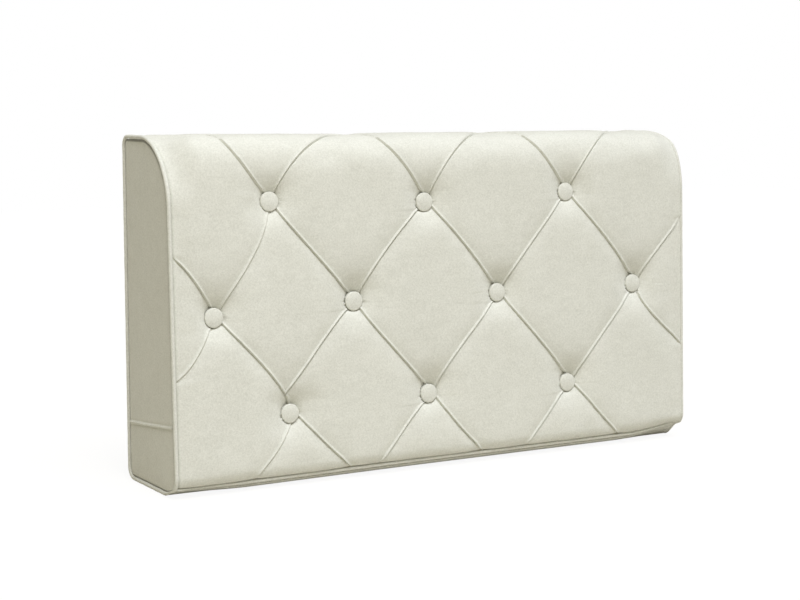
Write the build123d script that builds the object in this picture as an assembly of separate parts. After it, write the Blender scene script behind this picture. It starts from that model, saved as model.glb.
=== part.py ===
from build123d import *
import math
import os

os.makedirs("parts", exist_ok=True)

# A padded, buttoned headboard, in millimetres. X runs to the right, Y to the back and Z up.
# The origin is the middle of its base, and the buttoned face looks along -Y.

# Overall outline, over the piping
overall_width = 915.0
overall_height = 508.0
base_depth = 180.0
top_depth = 162.0
base_front_radius = 30.0
shoulder_radius = 100.0
back_corner_radius = 16.0
least_radius = 0.5

# Fits and cuts
soft_gap = 0.3
wood_gap = 0.2
overrun = 6.0

# Fabric, padding and skin
cover_thickness = 1.8
wadding_thickness = 8.0
foam_thickness = 32.0
skin_thickness = 5.0
draw_in = 3.0
draw_in_run = 42.0
draw_in_shares = ((0.6, 0.3), (1.0, 1.0))
dust_cloth_thickness = 0.8
hem_width = 34.0

# Piping
piping_diameter = 6.0

# Ends
end_cover_thickness = 1.8
end_cover_crown = 1.6
end_wadding_thickness = 6.0
end_panel_thickness = 15.0
end_seam_height = 92.0
end_seam_fall = 16.0
end_crown_run = 20.0

# Frame
former_thickness = 15.0
base_board_thickness = 12.0
rail_height = 60.0
rail_thickness = 20.0
stile_width = 60.0
former_column_shares = (-0.75, 0.25, 1.25)
former_hole_radius = 30.0
former_hole_pitch = 118.0
former_hole_count = 3

# Button lattice, measured up the front from the base
button_pitch = 255.0
row_pitch = 152.0
lattice_shift = -32.0
middle_row_height = 263.0
column_shares = {
    "top": (-1.03, -0.01, 1.02),
    "middle": (-1.39, -0.5, 0.5, 1.54),
    "bottom": (-0.93, 0.0, 1.02),
}
row_shares = {"top": 1.0, "middle": 0.0, "bottom": -1.0}
lift_shares = {
    "top": (0.01, -0.05, 0.01),
    "middle": (-0.06, 0.01, 0.0, 0.0),
    "bottom": (-0.03, 0.03, 0.0),
}

# Button and what ties it
button_diameter = 29.0
button_dome = 4.5
button_rim = 3.0
button_wall = 1.2
button_back_thickness = 1.5
ring_radius = 3.2
ring_wire = 1.2
ring_play = 0.1
twine_diameter = 1.4
twine_hole_diameter = 9.0
washer_diameter = 24.0
washer_thickness = 2.5
washer_hole_diameter = 6.4
washer_recess = 1.6
knot_diameter = 8.0
cup_gap = 1.0
cup_wall = 3.0
bell_radius = 15.0

# Pleats, which are cusp-shaped channels between the buttons
pleat_width = 30.0
pleat_depth = 5.0
flare_share = 3.0
pleat_over = 2.0
rim_lift = 0.8
top_run = 96.0
edge_rise = 92.0
base_run = 92.0
top_stations = 9

# Fixings
bolt_spacing_across = 400.0
bolt_spacing_up = 200.0
bolt_pattern_height = 215.0
bolt_diameter = 8.0
insert_barrel_diameter = 10.0
insert_flange_diameter = 22.0
insert_flange_thickness = 1.6
insert_barrel_length = 14.0
cloth_hole_diameter = 14.0
screw_diameter = 4.0
screw_length = 40.0
screw_head_diameter = 8.0
screw_head_depth = 2.5
board_screw_spacing = 60.0

# Worked out from the sizes above
lean = math.atan((base_depth - top_depth) / overall_height)
back_y = base_depth / 2
front_foot_y = -back_y + base_front_radius * (1 - math.tan(lean) - 1 / math.cos(lean))
piping_radius = piping_diameter / 2
body_back_y = back_y - dust_cloth_thickness - soft_gap
frame_back_y = body_back_y - cover_thickness - soft_gap
piping_x = overall_width / 2 - piping_radius
cover_end_x = piping_x - piping_radius - soft_gap
end_cover_x = piping_x - end_cover_thickness / 2
frame_end_x = end_cover_x - soft_gap - end_wadding_thickness - soft_gap
wadding_inset = cover_thickness + soft_gap
foam_inset = wadding_inset + wadding_thickness + soft_gap
skin_inset = foam_inset + foam_thickness + soft_gap
frame_inset = skin_inset + skin_thickness + wood_gap
frame_base_z = cover_thickness + soft_gap
ladder_front_y = frame_back_y - rail_thickness
end_panel_x = frame_end_x - end_panel_thickness
button_radius = button_diameter / 2
cup_radius = button_radius + cup_gap
cup_depth = bell_radius + cup_wall


def front_y(z, inset):
    """Where the leaning front stands at a height, inset along its normal."""
    return front_foot_y + z * math.tan(lean) + inset / math.cos(lean)


def side_plane(x):
    return Plane(origin=(x, 0, 0), x_dir=(0, 1, 0), z_dir=(1, 0, 0))


def outline(front, bottom, behind_y, x=0):
    """Side outline at x, inset by front on the front and top and by bottom below, and ending at behind_y."""
    top_z = overall_height - front
    corners = [
        (behind_y, bottom),
        (behind_y, top_z),
        (front_y(top_z, front), top_z),
        (front_y(bottom, front), bottom),
    ]
    inset = back_y - behind_y
    base_radius = base_front_radius - max(bottom, front) if bottom >= 0 else least_radius
    radii = [
        max(back_corner_radius - max(inset, bottom), least_radius),
        max(back_corner_radius - max(inset, front), least_radius),
        max(shoulder_radius - front, least_radius),
        max(base_radius, least_radius),
    ]
    wire = FilletPolyline(*corners, radius=radii, close=True)
    return side_plane(x) * make_face(wire.edges())


def prism(front, bottom, behind_y, half_length):
    """Side outline carried from -half_length to half_length."""
    return extrude(outline(front, bottom, behind_y, -half_length), amount=2 * half_length)


def crowned(front, bottom, behind_y, half_length, beyond):
    """Body whose front and top draw in towards its two ends, in two slopes at each end, and run on by beyond."""
    middle = half_length - draw_in_run
    body = prism(front, bottom, behind_y, middle)
    for way in (-1, 1):
        previous = outline(front, bottom, behind_y, way * middle)
        for length_share, draw_share in draw_in_shares:
            x = way * (middle + draw_in_run * length_share)
            following = outline(front + draw_in * draw_share, bottom, behind_y, x)
            body += loft([previous, following], ruled=True)
            previous = following
        if beyond:
            body += extrude(previous, amount=way * beyond)
    return body


# Places on the front, shoulder and top, by x and by the distance up the outline from the base
slope_length = overall_height / math.cos(lean)
shoulder_turn = math.pi / 2 - lean
front_run = slope_length - shoulder_radius * math.tan(shoulder_turn / 2)
shoulder_run = shoulder_radius * shoulder_turn
shoulder_y = front_foot_y + front_run * math.sin(lean) + shoulder_radius * math.cos(lean)
shoulder_z = front_run * math.cos(lean) - shoulder_radius * math.sin(lean)
top_run_end = front_run + shoulder_run + body_back_y - back_corner_radius - shoulder_y


def surface(x, up, inset=0):
    """Point of the padded surface, inset along its normal, and that normal."""
    if up < front_run:
        normal = Vector(0, -math.cos(lean), math.sin(lean))
        point = Vector(x, front_foot_y + up * math.sin(lean), up * math.cos(lean))
    elif up < front_run + shoulder_run:
        angle = lean + (up - front_run) / shoulder_radius
        normal = Vector(0, -math.cos(angle), math.sin(angle))
        point = Vector(x, shoulder_y, shoulder_z) + normal * shoulder_radius
    else:
        normal = Vector(0, 0, 1)
        point = Vector(x, shoulder_y + up - front_run - shoulder_run, shoulder_z + shoulder_radius)
    return point - normal * inset, normal


button_places = {}
for row, shares in column_shares.items():
    for number, (across, lift) in enumerate(zip(shares, lift_shares[row]), 1):
        up = middle_row_height + (row_shares[row] + lift) * row_pitch
        button_places[f"{row}_{number}"] = (lattice_shift + across * button_pitch, up)


def pleat_paths():
    """Each pleat as a list of (x, up) stations: between buttons, over the top, to the base and to the two ends."""
    paths = []
    top = [button_places[f"top_{n}"] for n in (1, 2, 3)]
    middle = [button_places[f"middle_{n}"] for n in (1, 2, 3, 4)]
    bottom = [button_places[f"bottom_{n}"] for n in (1, 2, 3)]
    for n in range(3):
        for side in (0, 1):
            paths.append([top[n], middle[n + side]])
            paths.append([middle[n + side], bottom[n]])
    for x, up in top:
        for way in (-1, 1):
            path = [(x, up)]
            for station in range(1, top_stations):
                share = station / (top_stations - 1)
                turn = math.sin(share * math.pi / 2)
                path.append((x + way * top_run * turn, up + share * (top_run_end - up)))
            paths.append(path)
    for x, up in bottom:
        for way in (-1, 1):
            paths.append([(x, up), (x + way * base_run, 0)])
    for way, (x, up) in ((-1, middle[0]), (1, middle[-1])):
        for rise in (-edge_rise, edge_rise):
            reach = way * (cover_end_x + overrun)
            stretch = (reach - x) / (way * cover_end_x - x)
            paths.append([(x, up), (reach, up + rise * stretch)])
    return paths


def pleat_cutter(path, inset):
    """Cusp-shaped channel along a path: two arcs that meet at its bottom, and flare above the surface."""
    points = []
    normals = []
    for x, up in path:
        point, normal = surface(x, up, inset)
        points.append(point)
        normals.append(normal)
    fall = pleat_depth + rim_lift
    radius = (fall**2 + (pleat_width / 2) ** 2) / (2 * fall)
    half_angle = math.asin(pleat_width / 2 / radius) / 2
    bulge = (pleat_width / 2 - radius * math.sin(half_angle), rim_lift + radius * math.cos(half_angle) - radius)
    flare = pleat_width / 2 + pleat_over * flare_share
    sections = []
    for i, (point, normal) in enumerate(zip(points, normals)):
        along = points[min(i + 1, len(points) - 1)] - points[max(i - 1, 0)]
        along = (along - normal * along.dot(normal)).normalized()
        place = Plane(origin=point, x_dir=normal.cross(along), z_dir=along)
        rim = (pleat_width / 2, rim_lift)
        far_rim = (-pleat_width / 2, rim_lift)
        profile = Polyline(far_rim, (-flare, pleat_over), (flare, pleat_over), rim)
        profile += ThreePointArc(rim, bulge, (0, -pleat_depth))
        profile += ThreePointArc((0, -pleat_depth), (-bulge[0], bulge[1]), far_rim)
        sections.append(place * make_face(profile.edges()))
    return loft(sections, ruled=True)


def button_plane(x, up):
    """Frame of a button: its origin on the padded surface, its z axis outwards."""
    point, normal = surface(x, up)
    return Plane(origin=point, x_dir=(1, 0, 0), z_dir=normal)


def turned(edges):
    """Solid turned about the local z axis from a half profile in (radius, height)."""
    return revolve(Plane.XZ * make_face(edges), Axis.Z)


def dimple_cutter(inset):
    """Bell mouth that the padding is pulled into: a quarter round, then a short straight cup."""
    rim = cup_radius + bell_radius
    wall = cup_radius + inset
    floor = -(cup_depth + inset)
    reach = bell_radius - inset
    middle_z = rim_lift - bell_radius
    bend = (rim - reach * math.cos(math.pi / 4), middle_z + reach * math.sin(math.pi / 4))
    profile = Polyline(
        (wall, middle_z), (wall, floor), (0, floor), (0, pleat_over),
        (rim + pleat_over * flare_share, pleat_over), (rim, rim_lift - inset),
    )
    profile += ThreePointArc((rim, rim_lift - inset), bend, (wall, middle_z))
    return turned(profile.edges())


def at_buttons(shape):
    return [button_plane(x, up) * shape for x, up in button_places.values()]


def rod(radius, low, high):
    """Round bar along the local z axis."""
    return Pos(0, 0, low) * Cylinder(radius, high - low, align=(Align.CENTER, Align.CENTER, Align.MIN))


def tufted(inset):
    """Padded form at an inset: crowned body, with its pleats and button dimples."""
    body = crowned(inset, inset, body_back_y - inset, cover_end_x, overrun if inset else 0)
    return body - at_buttons(dimple_cutter(inset)) - [pleat_cutter(path, inset) for path in pleat_paths()]


def block(low, high):
    """Box between two corners."""
    size = [b - a for a, b in zip(low, high)]
    return Pos(*low) * Box(*size, align=(Align.MIN, Align.MIN, Align.MIN))


def save(name, shape):
    """Writes one node, as one solid or as a group of separate ones."""
    pieces = shape if isinstance(shape, list) else [shape]
    solids = [solid for piece in pieces for solid in piece.solids()]
    print(name, len(solids), flush=True)
    export_step(solids[0] if len(solids) == 1 else Compound(children=list(solids)), f"parts/{name}.step")


far = overall_width
front_piping_offset = (base_front_radius - piping_radius) / math.sqrt(2)
front_piping_y = base_front_radius - back_y - front_piping_offset
front_piping_z = base_front_radius - front_piping_offset
twine_holes = at_buttons(rod(twine_hole_diameter / 2, -far, overrun))

# Front cover: from the front piping up over the shoulder and the top, and down the back as far as its hem
form = tufted(cover_thickness)
cover_foot_z = front_piping_z + piping_radius + soft_gap
under = block((-far, -far, -far), (far, far, cover_foot_z))
behind = block((-far, body_back_y - cover_thickness - soft_gap, -far), (far, far, overall_height - hem_width))
save("front_cover", tufted(0) - form - under - behind - twine_holes)

# Wadding: the same form, down to the foam
foam_room = prism(foam_inset - soft_gap, -overrun, back_y + overrun, far) - at_buttons(dimple_cutter(foam_inset - soft_gap))
ends = [block((-far, -far, -far), (-frame_end_x, far, far)), block((frame_end_x, -far, -far), (far, far, far))]
save("wadding", tufted(wadding_inset) - foam_room - under - ends - twine_holes)

# Foam core: one bent sheet, dished where the buttons pull into it, with a groove for the front piping
piping_groove = Pos(0, front_piping_y, front_piping_z) * Rot(0, 90, 0) * Cylinder(piping_radius + soft_gap, 2 * far)
foam = prism(foam_inset, frame_base_z, frame_back_y, frame_end_x) - at_buttons(dimple_cutter(foam_inset))
foam -= prism(skin_inset - soft_gap, -overrun, back_y + overrun, far)
save("foam_core", foam - piping_groove - twine_holes)

# Front skin: thin plywood bent over the formers, recessed behind each button for its washer
skin_back = skin_inset + skin_thickness
skin = prism(skin_inset, frame_base_z, frame_back_y, frame_end_x)
skin -= prism(skin_back, -overrun, back_y + overrun, far)
recess_floor = washer_recess - skin_back
recesses = at_buttons(rod(washer_diameter / 2 + wood_gap, -skin_back - overrun, recess_floor))
save("front_skin", skin - recesses - twine_holes)

# Bottom cover: behind the front piping, under the base and up the back as far as its hem
bottom = prism(0, 0, body_back_y, cover_end_x)
bottom -= prism(cover_thickness, cover_thickness, body_back_y - cover_thickness, far)
bottom_front_y = front_piping_y + piping_radius + soft_gap
save("bottom_cover", bottom & block((-far, bottom_front_y, -far), (far, far, hem_width)))

# Ends: wadding pad, upper and lower covers that meet at the low seam, and the piping round them
end_inset = piping_diameter + soft_gap
pad_inset = pleat_depth + wadding_inset
seam_run = 2 * back_y
for side, way in (("left", -1), ("right", 1)):
    face_x = way * (frame_end_x + soft_gap)
    pad = extrude(outline(pad_inset, pad_inset, back_y - pad_inset, face_x), amount=way * end_wadding_thickness)
    save(f"{side}_end_wadding", pad)

    rim_x = way * (end_cover_x + end_cover_thickness / 2)
    crown_x = way * (end_cover_x + end_cover_thickness + end_cover_crown)
    edge = outline(end_inset, end_inset, back_y - end_inset, way * end_cover_x)
    rim = outline(end_inset, end_inset, back_y - end_inset, rim_x)
    crown_inset = end_inset + end_crown_run
    crown = outline(crown_inset, crown_inset, back_y - crown_inset, crown_x)
    cover = extrude(edge, amount=way * end_cover_thickness / 2) + loft([rim, crown], ruled=True)
    lower_region = Polyline(
        (-seam_run, -far), (seam_run, -far),
        (seam_run, end_seam_height - end_seam_fall), (-seam_run, end_seam_height + end_seam_fall),
        close=True,
    )
    lower_region = extrude(side_plane(-far) * make_face(lower_region.edges()), amount=2 * far)
    save(f"{side}_end_lower_cover", cover & lower_region)
    save(f"{side}_end_upper_cover", cover - Pos(0, 0, soft_gap) * lower_region)

    welt = outline(piping_radius, piping_radius, back_y - piping_radius, way * piping_x).face().outer_wire()
    save(f"{side}_end_piping", sweep(Plane(welt ^ 0) * Circle(piping_radius), path=welt))
front_welt = Pos(0, front_piping_y, front_piping_z) * Rot(0, 90, 0) * Cylinder(piping_radius, 2 * cover_end_x)
save("front_piping", front_welt)

# Screws through the end panels into the rails and the base board
former_top_z = overall_height - frame_inset
former_front_y = front_y(frame_base_z + base_board_thickness, frame_inset)
board_top_z = frame_base_z + base_board_thickness
rail_middle_y = ladder_front_y + rail_thickness / 2
board_middle_y = (former_front_y + ladder_front_y) / 2
screw_places = [
    (rail_middle_y, former_top_z - rail_height / 2),
    (rail_middle_y, frame_base_z + rail_height / 2),
    (board_middle_y - board_screw_spacing / 2, frame_base_z + base_board_thickness / 2),
    (board_middle_y + board_screw_spacing / 2, frame_base_z + base_board_thickness / 2),
]


def screw(way, y, z, gap=0):
    """Countersunk screw driven inwards from the end panel's face, or the hole for it with a gap."""
    radius = screw_diameter / 2 + gap
    head = screw_head_diameter / 2 + gap
    profile = Polyline(
        (0, 0), (head, 0), (radius, -screw_head_depth), (radius, -screw_length - gap), (0, -screw_length - gap),
        close=True,
    )
    place = Plane(origin=(way * frame_end_x, y, z), x_dir=(0, 1, 0), z_dir=(way, 0, 0))
    return place * turned(profile.edges())


screws = [screw(way, y, z) for way in (-1, 1) for y, z in screw_places]
screw_holes = [screw(way, y, z, wood_gap / 2) for way in (-1, 1) for y, z in screw_places]
save("frame_screws", screws)

# Frame: end panels, inner formers with lightening holes, base board, and the ladder of rails and stiles
for side, way in (("left", -1), ("right", 1)):
    panel = extrude(outline(frame_inset, frame_base_z, frame_back_y, way * end_panel_x), amount=way * end_panel_thickness)
    save(f"{side}_end_panel", panel - screw_holes)
for number, share in enumerate(former_column_shares, 1):
    x = lattice_shift + share * button_pitch - former_thickness / 2
    former = extrude(outline(frame_inset, board_top_z, ladder_front_y, x), amount=former_thickness)
    hole_y = (former_front_y + ladder_front_y) / 2
    for step in range(former_hole_count):
        hole_z = (board_top_z + former_top_z) / 2 + (step - (former_hole_count - 1) / 2) * former_hole_pitch
        former -= Pos(x, hole_y, hole_z) * Rot(0, 90, 0) * Cylinder(former_hole_radius, 2 * former_thickness + overrun)
    save(f"inner_former_{number}", former)
board = block((-end_panel_x, former_front_y, frame_base_z), (end_panel_x, ladder_front_y, board_top_z))
save("base_board", board - screw_holes)
top_rail = block((-end_panel_x, ladder_front_y, former_top_z - rail_height), (end_panel_x, frame_back_y, former_top_z))
save("top_back_rail", top_rail - screw_holes)
low_rail_top_z = frame_base_z + rail_height
low_rail = block((-end_panel_x, ladder_front_y, frame_base_z), (end_panel_x, frame_back_y, low_rail_top_z))
low_rail &= prism(frame_inset, frame_base_z, frame_back_y, far)
save("bottom_back_rail", low_rail - screw_holes)

# Threaded inserts in the stiles, pressed in from inside, and the holes for them
insert_places = [
    (across * bolt_spacing_across / 2, bolt_pattern_height + up * bolt_spacing_up / 2)
    for across in (-1, 1)
    for up in (-1, 1)
]


def at_inserts(shape):
    """Copies at the four inserts: local z runs to the back from the stiles' inner face."""
    places = [Plane(origin=(x, ladder_front_y, z), x_dir=(1, 0, 0), z_dir=(0, 1, 0)) for x, z in insert_places]
    return [place * shape for place in places]


insert = rod(insert_flange_diameter / 2, 0, insert_flange_thickness)
insert += rod(insert_barrel_diameter / 2, 0, insert_barrel_length)
insert -= rod(bolt_diameter / 2, -overrun, insert_barrel_length + overrun)
save("threaded_inserts", at_inserts(insert))
insert_room = rod(insert_flange_diameter / 2 + wood_gap, -overrun, insert_flange_thickness)
insert_room += rod(insert_barrel_diameter / 2 + wood_gap, -overrun, rail_thickness + overrun)
for side, way in (("left", -1), ("right", 1)):
    middle_x = way * bolt_spacing_across / 2
    stile = block(
        (middle_x - stile_width / 2, ladder_front_y, low_rail_top_z),
        (middle_x + stile_width / 2, frame_back_y, former_top_z - rail_height),
    )
    save(f"{side}_back_stile", stile - at_inserts(insert_room))

# Dust cloth over the hems and the frame, open over the inserts
cloth_edge = back_corner_radius + soft_gap
cloth = block(
    (-cover_end_x, body_back_y + soft_gap, cloth_edge),
    (cover_end_x, back_y, overall_height - cloth_edge),
)
save("back_dust_cloth", cloth - at_inserts(rod(cloth_hole_diameter / 2, -overrun, far)))


def dome(radius, low, height):
    """Arc of a domed top, from its rim at radius and low to its crown on the axis."""
    sphere = (radius**2 + height**2) / (2 * height)
    middle = (radius / 2, low + math.sqrt(sphere**2 - (radius / 2) ** 2) - sphere + height)
    return ThreePointArc((radius, low), middle, (0, low + height))


# Buttons: domed cap, back plate, wire ring, doubled twine with its knot, and washer
cap_foot = soft_gap - cup_depth
cap_shoulder = cap_foot + button_rim
hollow_radius = button_radius - button_wall
cap = dome(button_radius, cap_shoulder, button_dome)
cap += Polyline((0, cap_shoulder + button_dome), (0, cap_shoulder + button_dome - button_wall))
cap += dome(hollow_radius, cap_shoulder, button_dome - button_wall)
cap += Polyline(
    (hollow_radius, cap_shoulder), (hollow_radius, cap_foot), (button_radius, cap_foot), (button_radius, cap_shoulder)
)
cap = turned(cap.edges())
for name, place in button_places.items():
    save(f"button_{name}", button_plane(*place) * cap)

plate_low = cap_foot + soft_gap
plate = rod(hollow_radius - ring_play, plate_low, plate_low + button_back_thickness)
save("button_backs", at_buttons(plate))

ring_middle = plate_low - ring_radius - ring_wire / 2
ring = Pos(0, 0, ring_middle) * Rot(90, 0, 0) * Torus(ring_radius, ring_wire / 2)
save("button_rings", at_buttons(ring))

washer_top = recess_floor - ring_play
washer_low = washer_top - washer_thickness
washer = rod(washer_diameter / 2, washer_low, washer_top) - rod(washer_hole_diameter / 2, -far, 0)
save("button_washers", at_buttons(washer))

twine_bend = ring_wire / 2 + twine_diameter / 2 + ring_play
bend_z = ring_middle - ring_radius
knot_z = washer_low - knot_diameter / 2 - ring_play
twine = Pos(0, 0, bend_z) * Rot(0, 90, 0) * Torus(twine_bend, twine_diameter / 2)
twine -= rod(far, -far, bend_z)
for way in (-1, 1):
    twine += Pos(0, way * twine_bend, 0) * rod(twine_diameter / 2, knot_z, bend_z)
twine += Pos(0, 0, knot_z) * Sphere(knot_diameter / 2)
save("button_twines", at_buttons(twine))
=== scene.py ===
import math
import bpy
import bmesh
import numpy as np
from mathutils import Matrix, Vector


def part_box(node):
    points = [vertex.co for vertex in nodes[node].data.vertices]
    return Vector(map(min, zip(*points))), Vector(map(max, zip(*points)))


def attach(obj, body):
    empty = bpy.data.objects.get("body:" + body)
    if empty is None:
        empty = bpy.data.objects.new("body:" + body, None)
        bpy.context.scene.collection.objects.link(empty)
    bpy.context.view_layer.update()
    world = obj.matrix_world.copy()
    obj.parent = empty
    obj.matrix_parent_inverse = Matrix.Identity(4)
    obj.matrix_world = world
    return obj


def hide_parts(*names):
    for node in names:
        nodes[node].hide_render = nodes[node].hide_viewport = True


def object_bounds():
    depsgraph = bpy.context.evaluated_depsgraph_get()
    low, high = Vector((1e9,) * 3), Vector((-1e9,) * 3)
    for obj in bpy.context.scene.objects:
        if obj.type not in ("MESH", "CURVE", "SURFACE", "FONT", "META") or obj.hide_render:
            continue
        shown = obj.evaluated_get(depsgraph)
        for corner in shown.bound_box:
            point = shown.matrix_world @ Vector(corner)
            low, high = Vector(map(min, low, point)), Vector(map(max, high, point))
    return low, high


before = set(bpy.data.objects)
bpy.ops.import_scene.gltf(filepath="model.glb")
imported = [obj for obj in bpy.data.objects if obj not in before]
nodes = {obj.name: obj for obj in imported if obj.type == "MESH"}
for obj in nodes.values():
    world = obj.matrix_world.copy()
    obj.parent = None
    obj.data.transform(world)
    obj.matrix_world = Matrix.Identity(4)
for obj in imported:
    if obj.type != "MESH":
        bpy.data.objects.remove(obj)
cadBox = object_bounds()
slotOf = {name: node.data.materials[0].name for name, node in nodes.items()}
print("frame loaded:", len(nodes), "nodes")

# A padded and buttoned headboard. Metres; X to the right, Y to the back, Z up, as in the frame.
mm = 0.001
body = "root"
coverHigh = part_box("front_cover")[1]
form = dict(
    depthAtBase=180 * mm,
    depthAtTop=162 * mm,
    baseRadius=30 * mm,
    shoulderRadius=100 * mm,
    topBackRadius=16 * mm,
    lowBackRadius=20 * mm,
    fullLeft=-1 * mm,
    fullMiddle=24 * mm,
    fullRight=9 * mm,
    fullRun=45 * mm,
    fullPower=5.0,
    frontLift=4.5 * mm,
    rightLift=9 * mm,
    rightLiftFrom=330 * mm,
    rightLiftPower=1.5,
    leftDrop=2.5 * mm,
    endLift=6 * mm,
    endLiftFrom=330 * mm,
    seamZ=12 * mm,
    liftRunY=(-44 * mm, -74 * mm),
    liftRunZ=(75 * mm, 12 * mm),
    leftTopLift=2.5 * mm,
    leftTopFrom=150 * mm,
    topRunZ=(400 * mm, 490 * mm),
    footAngle=math.radians(-37),
    hem=34 * mm,
)
height = cadBox[1].z
backY = form["depthAtBase"] / 2
coverEndX = coverHigh.x
coverBackY = coverHigh.y
lean = math.atan((form["depthAtBase"] - form["depthAtTop"]) / height)

# The padded surface is unrolled: "up" is the way along it from the base, over the leaning front,
# the shoulder, the top and the back corner, and down the back to the hem.
baseRadius = form["baseRadius"]
shoulderRadius = form["shoulderRadius"]
cornerRadius = form["topBackRadius"] - (backY - coverBackY)
footY = -backY + baseRadius * (1 - math.tan(lean) - 1 / math.cos(lean))
frontStart = baseRadius * (1 + math.sin(lean)) / math.cos(lean)
frontEnd = height / math.cos(lean) - shoulderRadius * math.tan((math.pi / 2 - lean) / 2)
shoulderEnd = frontEnd + shoulderRadius * (math.pi / 2 - lean)
shoulderY = footY + frontEnd * math.sin(lean) + shoulderRadius * math.cos(lean)
shoulderZ = frontEnd * math.cos(lean) - shoulderRadius * math.sin(lean)
topEnd = shoulderEnd + coverBackY - cornerRadius - shoulderY
cornerEnd = topEnd + cornerRadius * math.pi / 2
upFoot = frontStart - baseRadius * (lean - form["footAngle"])
upHem = cornerEnd + form["hem"] - cornerRadius


def surfaceAt(x, up):
    # straight runs and arcs of the side view, chosen by up and carried along x, with their normals
    x, up = np.broadcast_arrays(np.asarray(x, float), np.asarray(up, float))
    baseTurn = lean - (frontStart - up) / baseRadius
    shoulderTurn = lean + (up - frontEnd) / shoulderRadius
    cornerTurn = (up - topEnd) / cornerRadius
    parts = [up < frontStart, up < frontEnd, up < shoulderEnd, up < topEnd, up < cornerEnd]
    y = np.select(parts, [
        -backY + baseRadius - baseRadius * np.cos(baseTurn),
        footY + up * math.sin(lean),
        shoulderY - shoulderRadius * np.cos(shoulderTurn),
        shoulderY + up - shoulderEnd,
        coverBackY - cornerRadius + cornerRadius * np.sin(cornerTurn),
    ], coverBackY)
    z = np.select(parts, [
        baseRadius + baseRadius * np.sin(baseTurn),
        up * math.cos(lean),
        shoulderZ + shoulderRadius * np.sin(shoulderTurn),
        height,
        height - cornerRadius + cornerRadius * np.cos(cornerTurn),
    ], height - cornerRadius - (up - cornerEnd))
    square = math.pi / 2
    turn = np.select(parts, [baseTurn, lean, shoulderTurn, square, square + cornerTurn], math.pi)
    return np.stack([x, y, z], -1), np.stack([np.zeros_like(x), -np.cos(turn), np.sin(turn)], -1)


def offForm(x, up, rise):
    # points of the surface, each moved off it along its normal
    point, normal = surfaceAt(x, up)
    return point + normal * np.asarray(rise)[..., None]


def smooth(a, b, t):
    # 0 before a, 1 after b, an S-curve between
    s = np.clip((t - a) / (b - a), 0, 1)
    return s * s * (3 - 2 * s)


def bump(t, middle, width):
    # bell of height 1
    return np.exp(-((t - middle) / width) ** 2)


def fullness(x, up):
    # how far the padding of the shoulder stands off its arc: what a rounded square stands off a circle,
    # scaled to the most of each place, which is lower at both ends
    turn = np.clip((up - frontEnd) / (shoulderEnd - frontEnd), 0, 1) * math.pi / 2
    power = form["fullPower"]
    stands = (np.cos(turn) ** power + np.sin(turn) ** power) ** (-1 / power) - 1
    stands = stands / (2 ** (0.5 - 1 / power) - 1)
    fromLeft = smooth(0, form["fullRun"], x + coverEndX)
    byRight = smooth(form["fullRun"], 0, coverEndX - x)
    most = form["fullLeft"] + (form["fullMiddle"] - form["fullLeft"]) * fromLeft
    most = most + (form["fullRight"] - form["fullMiddle"]) * byRight
    return most * stands


def lifted(points):
    # raises the front edge of the base: nothing at the frame, full at the face, more towards the right end,
    # and at both ends more at the underside than at the seam over it; raises the top's left end a little
    x, y, z = points[..., 0], points[..., 1], points[..., 2]
    towardsRight = smooth(form["rightLiftFrom"], coverEndX, x) ** form["rightLiftPower"]
    foot = form["frontLift"] + form["rightLift"] * towardsRight - form["leftDrop"] * smooth(0, coverEndX, -x)
    under = form["endLift"] * smooth(form["endLiftFrom"], coverEndX, np.abs(x))
    foot = foot + under * np.clip(1 - z / form["seamZ"], 0, 1)
    top = form["leftTopLift"] * smooth(form["leftTopFrom"], coverEndX, -x) * smooth(*form["topRunZ"], z)
    rise = foot * smooth(*form["liftRunY"], y) * smooth(*form["liftRunZ"], z) + top
    return points + rise[..., None] * np.array([0, 0, 1.0])


def gridQuads(rows, columns, closeRows=False, closeColumns=False):
    # quads between neighbouring points of a grid, whose last line may join its first
    r, c = np.meshgrid(
        np.arange(rows if closeRows else rows - 1),
        np.arange(columns if closeColumns else columns - 1), indexing="ij")
    r2, c2 = (r + 1) % rows, (c + 1) % columns
    quads = [r * columns + c, r * columns + c2, r2 * columns + c2, r2 * columns + c]
    return np.stack(quads, -1).reshape(-1, 4)


def addObject(name, data):
    # object in the scene's own collection
    made = bpy.data.objects.new(name, data)
    bpy.context.scene.collection.objects.link(made)
    return made


def makePiece(name, points, faces, slot, replaced=(), merge=0.02 * mm):
    # one mesh from points and faces, its doubles merged and its faces turned outwards
    mesh = bpy.data.meshes.new(name)
    points = lifted(np.asarray(points, float).reshape(-1, 3))
    mesh.from_pydata(points.tolist(), [], [list(f) for f in faces])
    work = bmesh.new()
    work.from_mesh(mesh)
    bmesh.ops.remove_doubles(work, verts=work.verts, dist=merge)
    bmesh.ops.dissolve_degenerate(work, edges=work.edges, dist=merge / 10)
    bmesh.ops.recalc_face_normals(work, faces=work.faces)
    work.to_mesh(mesh)
    work.free()
    mesh.polygons.foreach_set("use_smooth", np.full(len(mesh.polygons), True))
    mesh.materials.append(finishOf[slot])
    piece = addObject(name, mesh)
    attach(piece, body)
    if replaced:
        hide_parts(*replaced)
    return piece


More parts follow.
